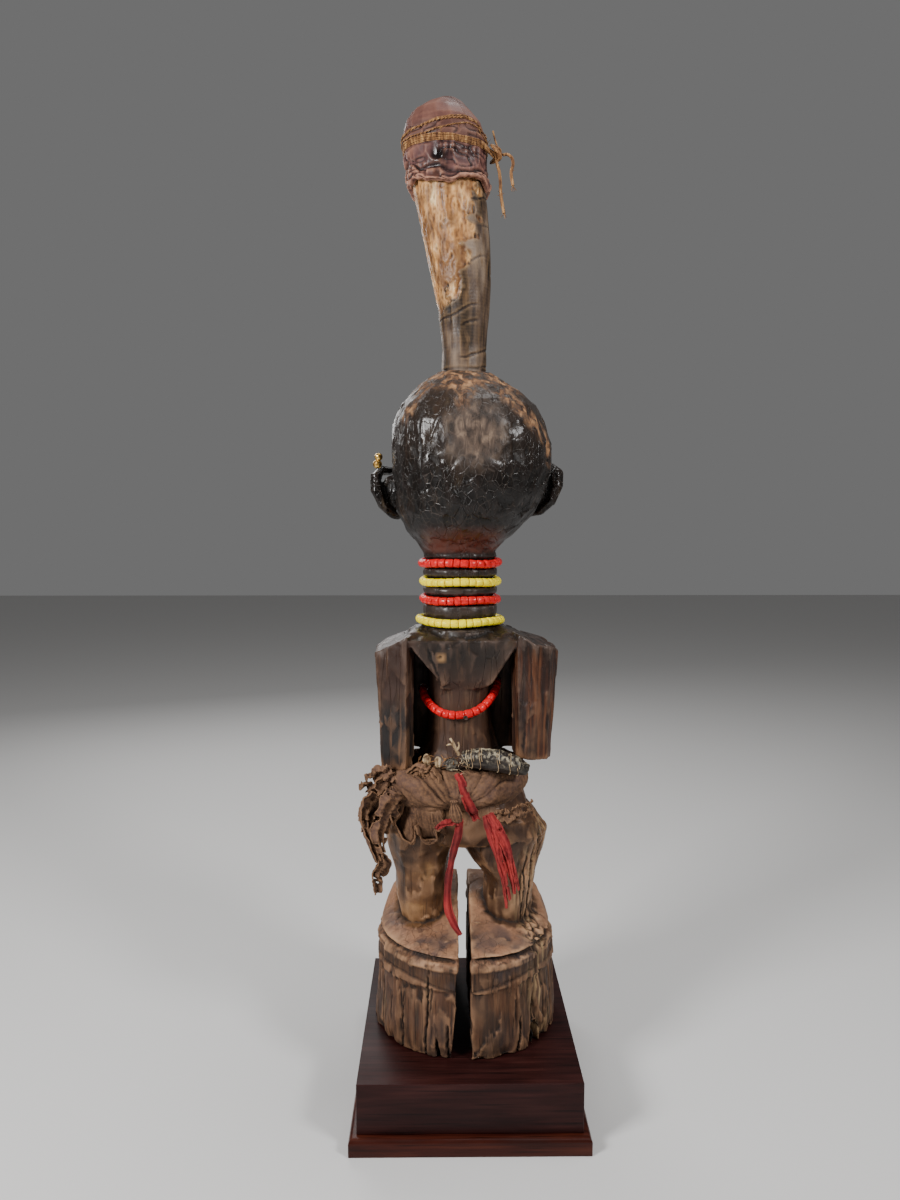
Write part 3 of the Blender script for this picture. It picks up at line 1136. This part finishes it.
# The back string follows the chest under the arms and drops behind: height, middle x, half width,
# back and front of the chest in mm above the figure's foot.
CHEST = np.array((
    (290.0, 6.5, 33.0, 31.0, -61.0), (310.0, 7.0, 31.0, 31.0, -56.0),
    (332.0, 7.0, 31.0, 32.0, -44.0), (352.0, 7.0, 32.0, 34.0, -37.0),
))
CLEARANCE = 4.9
c, s = np.cos(turns), np.sin(turns)
height = 331.0 - 20.5 * np.maximum(s, 0.0) ** 1.5 - 4.0 * np.maximum(-s, 0.0) - 4.0 * c
x, half, back, front = (np.interp(height, CHEST[:, 0], CHEST[:, k]) for k in (1, 2, 3, 4))
bent_c, bent_s = (np.sign(v) * np.abs(v) ** (2 / 2.3) for v in (c, s))
y = (back + front) / 2 + ((back - front) / 2 + CLEARANCE) * bent_s
line = np.column_stack([x + (half + CLEARANCE) * bent_c, y, height]) / 1000
line[:, 2] += FIGURE_FOOT
string = strung("back_beads_glass", line, red_glass, 5)
settled(string, None, "red_glass", "back_beads")
bpy.data.objects.remove(bead)
knot_at = line[38] + (0.0, 0.0042, -0.0022)
loops = np.linspace(0.0, 2 * math.pi, 25)
ties = []
for k in range(3):
    loop = np.column_stack([np.cos(loops), 0.5 * np.sin(loops * 2 + k), np.sin(loops + k)])
    ties.append(strand("tie_%d" % k, knot_at + loop * 0.0015, 0.0005, 1))
knot = as_one_mesh("back_string_knot", ties)
settled(knot, thread, "red_glass")


# Ear stud: an upholstery tack of brass, hammered in above the left ear. Its two round heads are
# dented and rubbed bright on top.
bpy.ops.object.select_all(action="DESELECT")
heads = []
for radius, place in ((0.0048, (0.0875, -0.0305, 0.6090)), (0.0042, (0.0865, -0.0305, 0.6160))):
    bpy.ops.mesh.primitive_uv_sphere_add(segments=28, ring_count=18, radius=radius, location=place)
    heads.append(bpy.context.object)
stud = as_one_mesh("ear_stud_brass", heads)
p, n = spots_of(stud), facings_of(stud)
moved_to(stud, p + n * (0.00028 * clouds(p, 0.0022, 71) - 0.0003)[:, None])
brass, tree, shader = finish("old brass", 0.3, 1.0)
spots = pattern(tree, 260.0, detail=4.0)
tones = ramp(spots, ((0.34, (0.16, 0.075, 0.018)), (0.52, (0.62, 0.38, 0.10)), (0.70, (0.90, 0.62, 0.20))))
dressed(shader, tones, ramp(spots, ((0.35, 0.55), (0.60, 0.22))), ((spots, 0.15),))
settled(stud, brass, "brass", "ear_stud")


# Waist cloth: a length of brown cotton, stiff with oil and dirt, wound once round the hips so that its
# ends meet in front. Its folds are gathered to a tie in the middle of the back.
cloth, tree, shader = finish("stiff brown cloth", 0.88)
edges, _, dark_part = marks_of(tree, "marks")
weave = pattern(tree, 260.0, (1.0, 0.2, 0.6), (0.0, 0.5, 0.4), detail=1.0, warp=1.2, kind="wave")
fuzz = pattern(tree, 520.0, detail=4.0)
stained = pattern(tree, 40.0, detail=6.0, warp=0.3)
tones = ramp(stained, (
    (0.30, (0.034, 0.017, 0.011)), (0.50, (0.085, 0.044, 0.026)), (0.70, (0.150, 0.082, 0.048))
))
tones = layered(
    tones,
    ((0.105, 0.060, 0.052), ramp(pattern(tree, 22.0, detail=3.0), ((0.50, 0.0), (0.62, 0.6)))),
    ((0.200, 0.098, 0.045), ramp(fuzz, ((0.45, 0.0), (0.70, 1.0))), 0.5),
    ((0.240, 0.128, 0.066), edges, 0.65),
    ((0.012, 0.006, 0.004), dark_part, 0.85),
)
dressed(shader, tones, relief=((weave, 0.10), (fuzz, 0.30), (pattern(tree, 130.0, detail=5.0), 0.55)))


def flat_cloth(name, columns, rows):
    """A flat grid to shape a cloth from, with how far along and across it each point lies."""
    bpy.ops.object.select_all(action="DESELECT")
    bpy.ops.mesh.primitive_grid_add(x_subdivisions=columns, y_subdivisions=rows, size=2.0)
    piece = bpy.context.object
    piece.name = name
    piece.data.name = name
    spots = spots_of(piece)
    return piece, (spots[:, 0] + 1) / 2, (spots[:, 1] + 1) / 2


def torn(piece, gone):
    """Takes the marked points and their faces out of a cloth."""
    picked(piece)
    bpy.ops.object.mode_set(mode="EDIT")
    bpy.ops.mesh.select_mode(type="VERT")
    bpy.ops.mesh.select_all(action="DESELECT")
    bpy.ops.object.mode_set(mode="OBJECT")
    piece.data.vertices.foreach_set("select", gone)
    bpy.ops.object.mode_set(mode="EDIT")
    bpy.ops.mesh.delete(type="VERT")
    bpy.ops.object.mode_set(mode="OBJECT")


def largest_part(piece):
    """Keeps the largest connected part of a torn cloth, so that no crumb hangs loose beside it."""
    ends = np.empty(len(piece.data.edges) * 2, np.int64)
    piece.data.edges.foreach_get("vertices", ends)
    a, b = ends.reshape(-1, 2).T
    group = np.arange(len(piece.data.vertices))
    while True:
        lowest = group.copy()
        np.minimum.at(lowest, a, group[b])
        np.minimum.at(lowest, b, group[a])
        lowest = lowest[lowest]
        if (lowest == group).all():
            break
        group = lowest
    torn(piece, group != np.bincount(group).argmax())


def stiffened(piece, thick, reach=0.18):
    """Gives a cloth its thickness and marks its folds."""
    applied(piece, "SOLIDIFY", thickness=thick, offset=0.0)
    rubbed, hollow = wear_marks(piece, reach)
    marked(piece, "marks", rubbed, np.zeros(len(rubbed)), hollow)
    piece.data.shade_smooth()


# The wrap by its share of a turn: height in mm above the figure's foot, bulge and half height. The
# hips by height: middle x, half width, back and front. TIE is where the folds meet, x and z in mm.
WRAP_ROWS = np.array((
    (-0.250, 243.0, 0.90, 14.0), (-0.125, 243.0, 1.70, 17.0), (0.000, 243.0, 2.15, 19.0),
    (0.125, 245.0, 1.90, 20.0), (0.250, 241.0, 1.05, 19.0), (0.375, 245.0, 1.00, 18.0),
    (0.500, 246.0, 0.80, 15.0), (0.625, 245.0, 0.90, 14.0), (0.750, 243.0, 0.90, 14.0),
))
HIPS = np.array((
    (205.0, 3.0, 61.0, 49.0, -48.0), (222.0, 3.0, 61.5, 52.0, -50.0),
    (240.0, 4.0, 56.0, 47.0, -50.0), (258.0, 5.0, 45.0, 39.0, -53.0),
))
TIE = (12.0, 287.0)


def on_wrap(share, angle, proud):
    """Points on the wrap at a share of its turn, an angle of its section and a distance outside it, in mm."""
    height, bulge, half = (np.interp(share, WRAP_ROWS[:, 0], WRAP_ROWS[:, k]) for k in (1, 2, 3))
    x, a, back, front = (np.interp(height, HIPS[:, 0], HIPS[:, k]) for k in (1, 2, 3, 4))
    turn = share * 2 * math.pi
    c, s = np.cos(turn), np.sin(turn)
    lump = 1.0 + 0.10 * np.sin(5 * turn + 0.7) + 0.06 * np.sin(9 * turn)
    reach = 12.0 * bulge * (0.25 + 0.85 * np.cos(angle) * lump) + proud * np.cos(angle)
    y = (back + front) / 2 + (back - front) / 2 * s + reach * s
    z = height + FIGURE_FOOT * 1000 + (half + proud) * np.sin(angle)
    return np.column_stack([x + a * c + reach * c, y, z]) / 1000


wrap, along, across = flat_cloth("waist_cloth_wrap", 420, 72)
share = -0.25 + 1.0 * along
angle = np.radians(112.0 - 224.0 * across)
base = on_wrap(share, angle, np.zeros(len(along))) * 1000
laid = np.column_stack([along * 0.40, across * 0.08, np.zeros(len(along))])
behind = eased(base[:, 1], 5.0, 25.0)
from_tie = np.hypot(base[:, 0] - TIE[0], base[:, 2] - TIE[1])
fan_angle = np.arctan2(base[:, 2] - TIE[1], TIE[0] - base[:, 0])
level_folds = base[:, 2] / 4.2 + 2.0 * clouds(laid, (0.05, 0.03, 1.0), 80)
phase = behind * fan_angle * 6.5 + (1.0 - behind) * level_folds + 1.1 * clouds(laid, (0.026, 0.018, 1.0), 81)
folds = np.abs(np.sin(phase)) ** 0.6
minor = np.abs(np.sin(phase * 2.6 + 1.0 + 1.4 * clouds(laid, (0.016, 0.010, 1.0), 82))) ** 0.7
left_part = behind * eased(base[:, 0], 14.0, 30.0)
proud = -3.2 + folds * (2.2 + 2.6 * left_part) * eased(from_tie, 2.0, 26.0) + minor * (0.6 + 0.7 * left_part)
creases = 1.1 * clouds(laid, (0.014, 0.010, 1.0), 83) + 0.5 * clouds(laid, (0.0052, 0.0040, 1.0), 84)
proud += creases + 0.25 * clouds(laid, (0.0026, 0.0022, 1.0), 85)
points = on_wrap(share, angle, proud)
hem_wave = 2.2 * clouds(laid, (0.012, 1.0, 1.0), 85) / 1000
points[:, 2] += hem_wave * (np.abs(across - 0.5) * 2) ** 2
top_part = eased(-np.abs(across), -0.45, -0.02)
dip = np.exp(-(((points[:, 0] - 0.047) / 0.009) ** 2)) * (points[:, 1] > 0.01)
points[:, 2] -= 0.010 * dip * top_part
points[:, 1] += 0.0035 * dip * top_part
points[:, 2] += 0.004 * np.exp(-(((points[:, 0] - 0.074) / 0.012) ** 2)) * top_part * (points[:, 1] > -0.01)
moved_to(wrap, points)
gone = ((across < 0.05) | (across > 0.95)) & (clouds(laid, (0.006, 0.004, 1.0), 86) > 0.1)
torn(wrap, gone)
stiffened(wrap, 0.0013)
settled(wrap, cloth, "brown_cloth", "waist_cloth")


# Cupped fold: the cloth's loose end at the left buttock. It lies on the wood as a pleated flap, and
# its stiff lower edge turns up and stands out in a meander of open cups.
def on_wood(x, z, proud):
    """How far back the carving's surface stands at places in mm, plus a distance outside it."""
    reach = []
    for one_x, one_z in zip(x, z):
        start = Vector((one_x / 1000, 0.2, one_z / 1000))
        found, spot, _, _ = carving.ray_cast(start, Vector((0.0, -1.0, 0.0)))
        reach.append(spot.y * 1000 if found and spot.y > 0.02 else 34.0)
    return np.array(reach) + proud


CUP_EDGE = (
    (73, 290), (71, 274), (67, 262), (59, 254), (52.5, 251), (50, 261), (47.5, 271), (44.5, 262),
    (40, 253), (34, 250.5), (29.5, 257), (32, 266), (27, 269), (22, 262), (23.5, 254),
)
cup, across, down = flat_cloth("waist_cloth_cup", 190, 70)
edge = through(CUP_EDGE, 14)
edge_x, edge_z = (np.interp(across * (len(edge) - 1), np.arange(len(edge)), edge[:, k]) for k in (0, 1))
laid = np.column_stack([across * 0.13, down * 0.06, np.zeros(len(down))])
flap = np.clip(down / 0.55, 0.0, 1.0) ** 0.9
lip = np.clip((down - 0.55) / 0.45, 0.0, 1.0)
x = (74.0 - 50.0 * across) * (1.0 - flap) + edge_x * flap
z = 306.0 * (1.0 - flap) + edge_z * flap
y = on_wood(x, z, 1.6)
reach = 10.0 + 3.5 * np.sin(across * 17.0 + 0.6) + 2.0 * clouds(laid, (0.010, 1.0, 1.0), 90)
y = y + lip * reach + (1.0 - lip) * flap * (1.0 - flap) * 9.0
x = x + lip * 2.2 * np.sin(across * 11.0 + 2.0) + 0.7 * clouds(laid, (0.006, 0.006, 1.0), 94)
z = z + lip**2 * (4.5 + 2.5 * np.sin(across * 23.0)) + lip * 1.8 * clouds(laid, (0.004, 1.0, 1.0), 93)
y = y + 1.1 * clouds(laid, (0.009, 0.009, 1.0), 91) + 0.6 * clouds(laid, (0.0035, 0.004, 1.0), 92)
moved_to(cup, np.column_stack([x, y, z]) / 1000)
stiffened(cup, 0.0015)
settled(cup, cloth, "brown_cloth")


# Rags: torn ends of the same cloth, stiff and worn through. Five hang from under the wrap at the left
# hip, one is crumpled beside the tucked bits, and a short flap lies on the right hip.
def ragged_strip(
    name, route, widths, wide_way, folds, fold_depth, holes, seed, columns=44, rows=110, crumple=1.0
):
    """A strip of cloth hung along a route in mm, crumpled lengthwise and holed where it is worn."""
    piece, across, down = flat_cloth(name, columns, rows)
    path = through(route, 12)
    spread = through([(w,) for w in widths], 12)[:, 0]
    place = down * (len(path) - 1)
    at = np.column_stack([np.interp(place, np.arange(len(path)), path[:, k]) for k in range(3)])
    wide = np.interp(place, np.arange(len(path)), spread)
    ahead = np.gradient(path, axis=0)
    ahead = np.column_stack([np.interp(place, np.arange(len(path)), ahead[:, k]) for k in range(3)])
    ahead /= np.linalg.norm(ahead, axis=1)[:, None]
    deep = np.cross(ahead, np.asarray(wide_way, float))
    deep /= np.linalg.norm(deep, axis=1)[:, None]
    sideways = np.cross(deep, ahead)
    laid = np.column_stack([across * wide.mean(), place / (len(path) - 1) * 60.0, np.zeros(len(down))])
    s = across * 2 - 1
    along_edge = np.column_stack([np.sign(s) * 40, laid[:, 1], laid[:, 2]])
    edge = 1.0 + 0.28 * clouds(along_edge, (9.0, 4.5, 1.0), seed)
    wave = fold_depth * np.sin(2 * math.pi * folds * across + 2.5 * clouds(laid, (30.0, 16.0, 1.0), seed + 1))
    large, small = clouds(laid, (4.0, 5.0, 1.0), seed + 2), clouds(laid, (2.0, 2.2, 1.0), seed + 3)
    wave += crumple * (1.5 * large + 0.8 * small)
    points = at + sideways * (s * wide / 2 * edge)[:, None] + deep * wave[:, None]
    moved_to(piece, points / 1000)
    worn = clouds(laid, (4.6, 5.2, 1.0), seed + 4) + 0.4 * clouds(laid, (2.2, 2.6, 1.0), seed + 5)
    torn(piece, (worn > holes) & (down > 0.06))
    largest_part(piece)
    stiffened(piece, 0.0012)
    return piece


for name, route, widths, wide_way, folds, fold_depth, holes, seed, flat in (
    ("hip_rag_long", ((74, 30, 306), (86, 36, 292), (92, 41, 276), (89, 43, 258), (83, 42, 238)),
     (30, 32, 23, 15, 12), (0.75, 0.65, 0.1), 2.6, 3.2, 0.74, 101, (0.040, 0.088)),
    ("hip_rag_side", ((80, 10, 305), (94, 14, 290), (101, 18, 274), (97, 20, 258)), (26, 26, 17, 8),
     (0.25, 0.97, 0.0), 2.2, 2.6, 0.70, 111, (0.030, 0.062)),
    ("hip_rag_inner", ((66, 47, 303), (75, 51, 287), (82, 50, 268), (80, 48, 247)), (24, 25, 18, 7),
     (0.80, 0.60, 0.0), 2.3, 2.4, 0.66, 121, (0.028, 0.066)),
    ("hip_rag_scrap", ((82, 42, 243), (80, 43, 231), (86, 43, 221), (84, 42, 206)), (6, 17, 13, 9),
     (0.80, 0.55, 0.2), 1.7, 2.2, 0.70, 131, (0.022, 0.043)),
    ("hip_rag_corner", ((70, 42, 322), (84, 38, 314), (99, 32, 301)), (19, 21, 12), (0.3, 0.3, 0.9), 2.0,
     2.4, 0.64, 141, (0.026, 0.043)),
    ("waist_cloth_crumple", ((54, 44, 321), (46, 51, 327), (38, 55, 325), (27, 57, 316)),
     (10, 13, 14, 11), (0.2, 0.5, 0.8), 3.2, 3.0, 0.95, 145, (0.036, 0.048)),
    ("hip_rag_right", ((-24, 57, 287), (-37, 56, 285), (-49, 51, 286), (-59, 42, 291)), (8, 15, 17, 11),
     (0.05, 0.25, 0.97), 1.3, 1.8, 0.55, 147, (0.018, 0.042)),
):
    rag = ragged_strip(name, route, widths, wide_way, folds, fold_depth, holes, seed)
    settled(rag, cloth, "brown_cloth")


# Bundle: a roll of black hide packed with matter and wound with fine thread, tucked in behind the
# waist. A pale crust of offerings has dried on its upper side.
bundle = merged_copy("waist_bundle", "waist_bundle_hide")
applied(bundle, "REMESH", mode="VOXEL", voxel_size=0.0008)
applied(bundle, "SMOOTH", factor=0.5, iterations=6)
p, n = spots_of(bundle), facings_of(bundle)
upper_side = eased(n[:, 2] + 0.4 * clouds(p, 0.006, 151), -0.1, 0.5)
crumbs = np.abs(clouds(p, 0.0024, 152)) + 0.7 * np.abs(clouds(p, 0.0045, 153))
dents = np.abs(clouds(p, (0.006, 0.004, 0.004), 154))
moved_to(bundle, p + n * (0.0003 + upper_side * 0.0011 * crumbs - 0.0006 * dents)[:, None])
rubbed, hollow = wear_marks(bundle, 0.12)
marked(bundle, "marks", rubbed, upper_side, hollow)
bundle.data.shade_smooth()
black_hide, tree, shader = finish("crusted black hide", 0.4)
edges, crust_part, dark_part = marks_of(tree, "marks")
tones = ramp(pattern(tree, 90.0, detail=4.0), ((0.35, (0.007, 0.006, 0.006)), (0.65, (0.030, 0.024, 0.021))))
crumbled = pattern(tree, 230.0, detail=6.0, warp=0.5)
flecks = times(crust_part, ramp(crumbled, ((0.50, 0.0), (0.62, 0.9))))
tones = layered(
    tones,
    ((0.34, 0.29, 0.20), flecks),
    ((0.17, 0.14, 0.10), edges, 0.35),
)
gloss = laid_over((0.34, 0.34, 0.34), (0.9, 0.9, 0.9), flecks)
dressed(shader, tones, gloss, ((pattern(tree, 300.0, detail=4.0), 0.5),))
settled(bundle, black_hide, "crusted_hide", "waist_bundle")

bone, tree, shader = finish("dry bone and twig", 0.7)
chalky = pattern(tree, 240.0, (1.0, 1.0, 0.5), detail=5.0)
tones = ramp(chalky, ((0.32, (0.10, 0.055, 0.028)), (0.50, (0.36, 0.25, 0.14)), (0.68, (0.66, 0.54, 0.36))))
dressed(shader, tones, relief=((pattern(tree, 420.0, detail=4.0), 0.4),))

# Fine thread round the roll, laid along its middle line, and loose ends where it is gathered.
roll_line = through((
    (6.0, 49.0, 335.0), (-8.0, 50.5, 336.0), (-24.0, 51.0, 334.5), (-40.0, 50.0, 330.0), (-54.0, 47.0, 324.0),
), 6) / 1000
ROLL_RADIUS = 0.0092
ROLL_SPOTS = (0, 6, 12, 18, 24)
ROLL_SHARES = (0.72, 1.0, 1.08, 0.98, 0.55)
luck = np.random.default_rng(161)
windings = []
for k, spot in enumerate((2, 4, 7, 13, 17, 20)):
    reach = ROLL_RADIUS * float(np.interp(spot, ROLL_SPOTS, ROLL_SHARES)) + 0.0004
    a = np.linspace(0.0, 2 * math.pi * 1.3, 41)
    drift_x = 0.0025 * (a / a[-1] - 0.5) + 0.0006 * np.sin(a * 3)
    ring = np.column_stack([drift_x, np.cos(a) * reach, np.sin(a) * reach])
    windings.append(strand("winding_%d" % k, roll_line[spot] + ring, 0.00035, 1))
for k in range(16):
    foot = np.array([luck.uniform(-0.004, 0.012), 0.0565, luck.uniform(0.324, 0.338)])
    way = luck.normal(0.0, 1.0, 3) * (1.0, 0.35, 1.0)
    reach, bow = luck.uniform(0.004, 0.008), luck.normal(0.0, 0.001, 3)
    windings.append(wisp("loose_thread_%d" % k, foot, way, reach, bow, 0.00024, (1.0, 0.9, 0.5)))
threads = as_one_mesh("bundle_threads", windings)
settled(threads, bone, "crusted_hide")


# Tucked bits: a forked twig, a pierced black seed, two pale pods and dry fibres, lodged in the gap
# beside the bundle and held there by the wrap.
twig_parts = []
for k, (route, radius) in enumerate((
    (((9.0, 50.0, 339.5), (12.0, 51.0, 345.0), (14.5, 51.6, 351.0), (17.0, 51.8, 355.5)), 1.7),
    (((11.0, 50.8, 343.5), (9.0, 52.0, 348.0), (9.5, 52.2, 352.0)), 1.1),
    (((13.5, 51.4, 348.5), (17.5, 52.5, 350.0), (20.5, 53.0, 349.0)), 0.9),
)):
    line = through(route, 4) / 1000
    twig_parts.append(strand("twig_%d" % k, line, radius / 1000, 3, np.linspace(1.0, 0.65, len(line))))
twig = as_one_mesh("tucked_twig_wood", twig_parts)
p, n = spots_of(twig), facings_of(twig)
moved_to(twig, p + n * (0.0003 * clouds(p, 0.0015, 171))[:, None])
settled(twig, bone, "bone", "tucked_twig")

for name, node, centre, radii, seed in (
    ("pierced_bit_seed", "pierced_bit", (16.0, 52.0, 331.0), (6.2, 5.0, 6.2), 181),
    ("seed_pod_1_shell", "seed_pod_1", (28.0, 52.0, 333.0), (3.6, 3.6, 5.6), 182),
    ("seed_pod_2_shell", "seed_pod_2", (38.5, 52.0, 335.5), (3.6, 3.6, 5.6), 183),
):
    bpy.ops.object.select_all(action="DESELECT")
    bpy.ops.mesh.primitive_uv_sphere_add(segments=48, ring_count=32, radius=1.0)
    bit = bpy.context.object
    bit.name = name
    p = spots_of(bit)
    swell = 1.0 + 0.10 * clouds(p, 0.7, seed) - 0.12 * np.abs(clouds(p, 0.28, seed + 10))
    if node == "pierced_bit":
        for pit in ((0.55, 0.75, 0.25), (-0.45, 0.85, 0.15), (0.1, 0.8, -0.55), (0.0, 0.9, 0.45)):
            swell -= 0.42 * np.exp(-((p - pit) ** 2).sum(1) / 0.045)
    else:
        swell -= 0.18 * np.exp(-(p[:, 0] / 0.16) ** 2) * (p[:, 1] > 0)
    moved_to(bit, (np.asarray(centre) + p * swell[:, None] * radii) / 1000)
    rubbed, hollow = wear_marks(bit, 0.10)
    marked(bit, "marks", rubbed, eased(clouds(spots_of(bit), 0.003, seed), -0.3, 0.2), hollow)
    bit.data.shade_smooth()
    settled(bit, *((black_hide, "crusted_hide") if node == "pierced_bit" else (bone, "bone")), node)

luck = np.random.default_rng(191)
tuft = []
for k in range(34):
    foot = np.array([luck.uniform(0.012, 0.046), luck.uniform(0.048, 0.055), luck.uniform(0.325, 0.338)])
    way = np.array([luck.normal(0.1, 0.8), luck.uniform(0.0, 0.3), luck.normal(0.4, 0.6)])
    reach, bow, thick = luck.uniform(0.005, 0.011), luck.normal(0.0, 0.001, 3), luck.uniform(0.0003, 0.0007)
    tuft.append(wisp("dry_fibre_%d" % k, foot, way, reach, bow, thick, (1.0, 0.9, 0.4)))
fibres = as_one_mesh("tucked_fibres", tuft)
settled(fibres, fibre, "fibre")


# Red ties: strips torn from red cotton cloth. One goes over the wrap and ends in a bunch of
# shreds on the right thigh, one hangs to the split of the base, and a short end sticks out.
red_cloth, tree, shader = finish("torn red cotton", 0.85)
edges, _, dark_part = marks_of(tree, "marks")
faded = pattern(tree, 70.0, detail=6.0)
tones = ramp(faded, (
    (0.30, (0.060, 0.005, 0.007)), (0.50, (0.185, 0.011, 0.014)), (0.70, (0.330, 0.028, 0.026))
))
tones = layered(
    tones,
    ((0.38, 0.060, 0.048), edges, 0.4),
    ((0.022, 0.004, 0.004), dark_part, 0.85),
)
dressed(shader, tones, relief=(
    (pattern(tree, 420.0, (0.4, 1.0, 1.0), detail=1.0, warp=0.8, kind="wave"), 0.08),
    (pattern(tree, 480.0, detail=4.0), 0.30),
))

over = on_wrap(np.full(6, 0.25), np.radians((72, 45, 15, -15, -45, -72)), 0.6) * 1000
over[:, 0] += (6.0, 3.5, 0.5, -3.0, -6.5, -9.0)
strap_route = [tuple(point) for point in over] + [(-7.0, 60.0, 281.5)]
for name, nodes, route, widths, folds, fold_depth, seed, flat in (
    ("red_strap_cloth", ("red_strap",), strap_route, (8, 8.5, 8.5, 8.5, 8.5, 8, 6.5), 1.3, 1.1, 201,
     (0.012, 0.053)),
    ("red_streamer_cloth", ("red_streamer",),
     ((8, 63, 284), (9, 63, 277), (10.5, 62.5, 267), (14, 61.5, 253), (18, 59.5, 231),
      (19.5, 59, 213), (18.5, 61, 197), (14, 63, 185), (8, 64.5, 175)),
     (6, 7, 7, 6.5, 6.5, 6.5, 7, 6.5, 4), 1.2, 1.0, 211, (0.010, 0.115)),
    ("red_short_end", (), ((10, 64, 280), (17, 65, 281.5), (25, 65, 279), (30, 65, 275)),
     (6, 6, 5.5, 3.5), 1.1, 0.8, 221, (0.010, 0.024)),
    ("red_shred_1", (),
     ((-17, 60, 287), (-24, 62, 272), (-33, 60, 250), (-40, 57.5, 226), (-42, 56.5, 211)),
     (8, 11, 8, 5, 2.2), 1.6, 1.3, 231, (0.014, 0.080)),
    ("red_shred_2", (),
     ((-16, 60, 286), (-20, 62.5, 270), (-27, 61, 245), (-33, 58, 218), (-35, 57, 197)),
     (7, 8, 5, 3.2, 1.5), 1.4, 1.1, 241, (0.012, 0.088)),
    ("red_shred_3", (), ((-19, 60, 287), (-29, 63, 268), (-38, 61, 244), (-43, 58, 222)), (7, 9, 6, 2.2),
     1.5, 1.2, 251, (0.012, 0.068)),
    ("red_shred_4", (), ((-18, 60, 285), (-25, 64, 262), (-31, 61, 238), (-38, 58.5, 206)),
     (4, 5, 4, 1.6), 1.2, 0.9, 261, (0.010, 0.065)),
    ("red_shred_5", (), ((-20, 60, 285), (-32, 62, 262), (-41, 59, 236), (-46, 56, 214)), (4, 5, 3, 1.5),
     1.2, 0.9, 271, (0.010, 0.055)),
):
    wide_way = (1.0, 0.05, 0.25 if "short" in name else 0.0)
    strip = ragged_strip(name, route, widths, wide_way, folds, fold_depth, 0.95, seed, 22, 120, 0.5)
    settled(strip, red_cloth, "red_cloth", *nodes)


# Pouch: a twist of brown cloth packed with matter and tied at its neck, hung in the middle of the
# back. Its outline in levels from foot to mouth, and its middle, half sizes and lean in mm, follow.
POUCH_LEVELS = (-1.0, -0.8, -0.2, 0.35, 0.62, 0.72, 0.85, 1.0)
POUCH_SHARES = (0.25, 0.75, 1.0, 0.72, 0.42, 0.40, 0.62, 0.50)
POUCH_MIDDLE = (12.4, 66.8, 291.8)
POUCH_HALF = (6.3, 4.0, 10.6)
POUCH_LEAN = (1.9, -0.8)
bpy.ops.object.select_all(action="DESELECT")
bpy.ops.mesh.primitive_uv_sphere_add(segments=64, ring_count=48, radius=1.0)
pouch = bpy.context.object
pouch.name = "hip_pouch_cloth"
p = spots_of(pouch)
a = np.arctan2(p[:, 1], p[:, 0])
profile = np.interp(p[:, 2], POUCH_LEVELS, POUCH_SHARES)
reach = np.maximum(np.hypot(p[:, 0], p[:, 1]), 1e-6)
gathers = 1.0 - 0.22 * np.abs(np.sin(a * 4.5 + 0.8 * p[:, 2])) * (0.4 + 0.6 * eased(p[:, 2], -0.6, 0.6))
flat_share = np.minimum(1.0, reach / 0.35)
middle, lean, half = POUCH_MIDDLE, POUCH_LEAN, POUCH_HALF
x = middle[0] + lean[0] * p[:, 2] + np.cos(a) * half[0] * profile * gathers * flat_share
y = middle[1] + lean[1] * p[:, 2] + np.sin(a) * half[1] * profile * gathers * flat_share
z = middle[2] + half[2] * p[:, 2]
moved_to(pouch, np.column_stack([x, y, z]) / 1000)
rubbed, hollow = wear_marks(pouch, 0.12)
marked(pouch, "marks", rubbed, np.zeros(len(rubbed)), hollow)
pouch.data.shade_smooth()
settled(pouch, cloth, "brown_cloth", "hip_pouch")
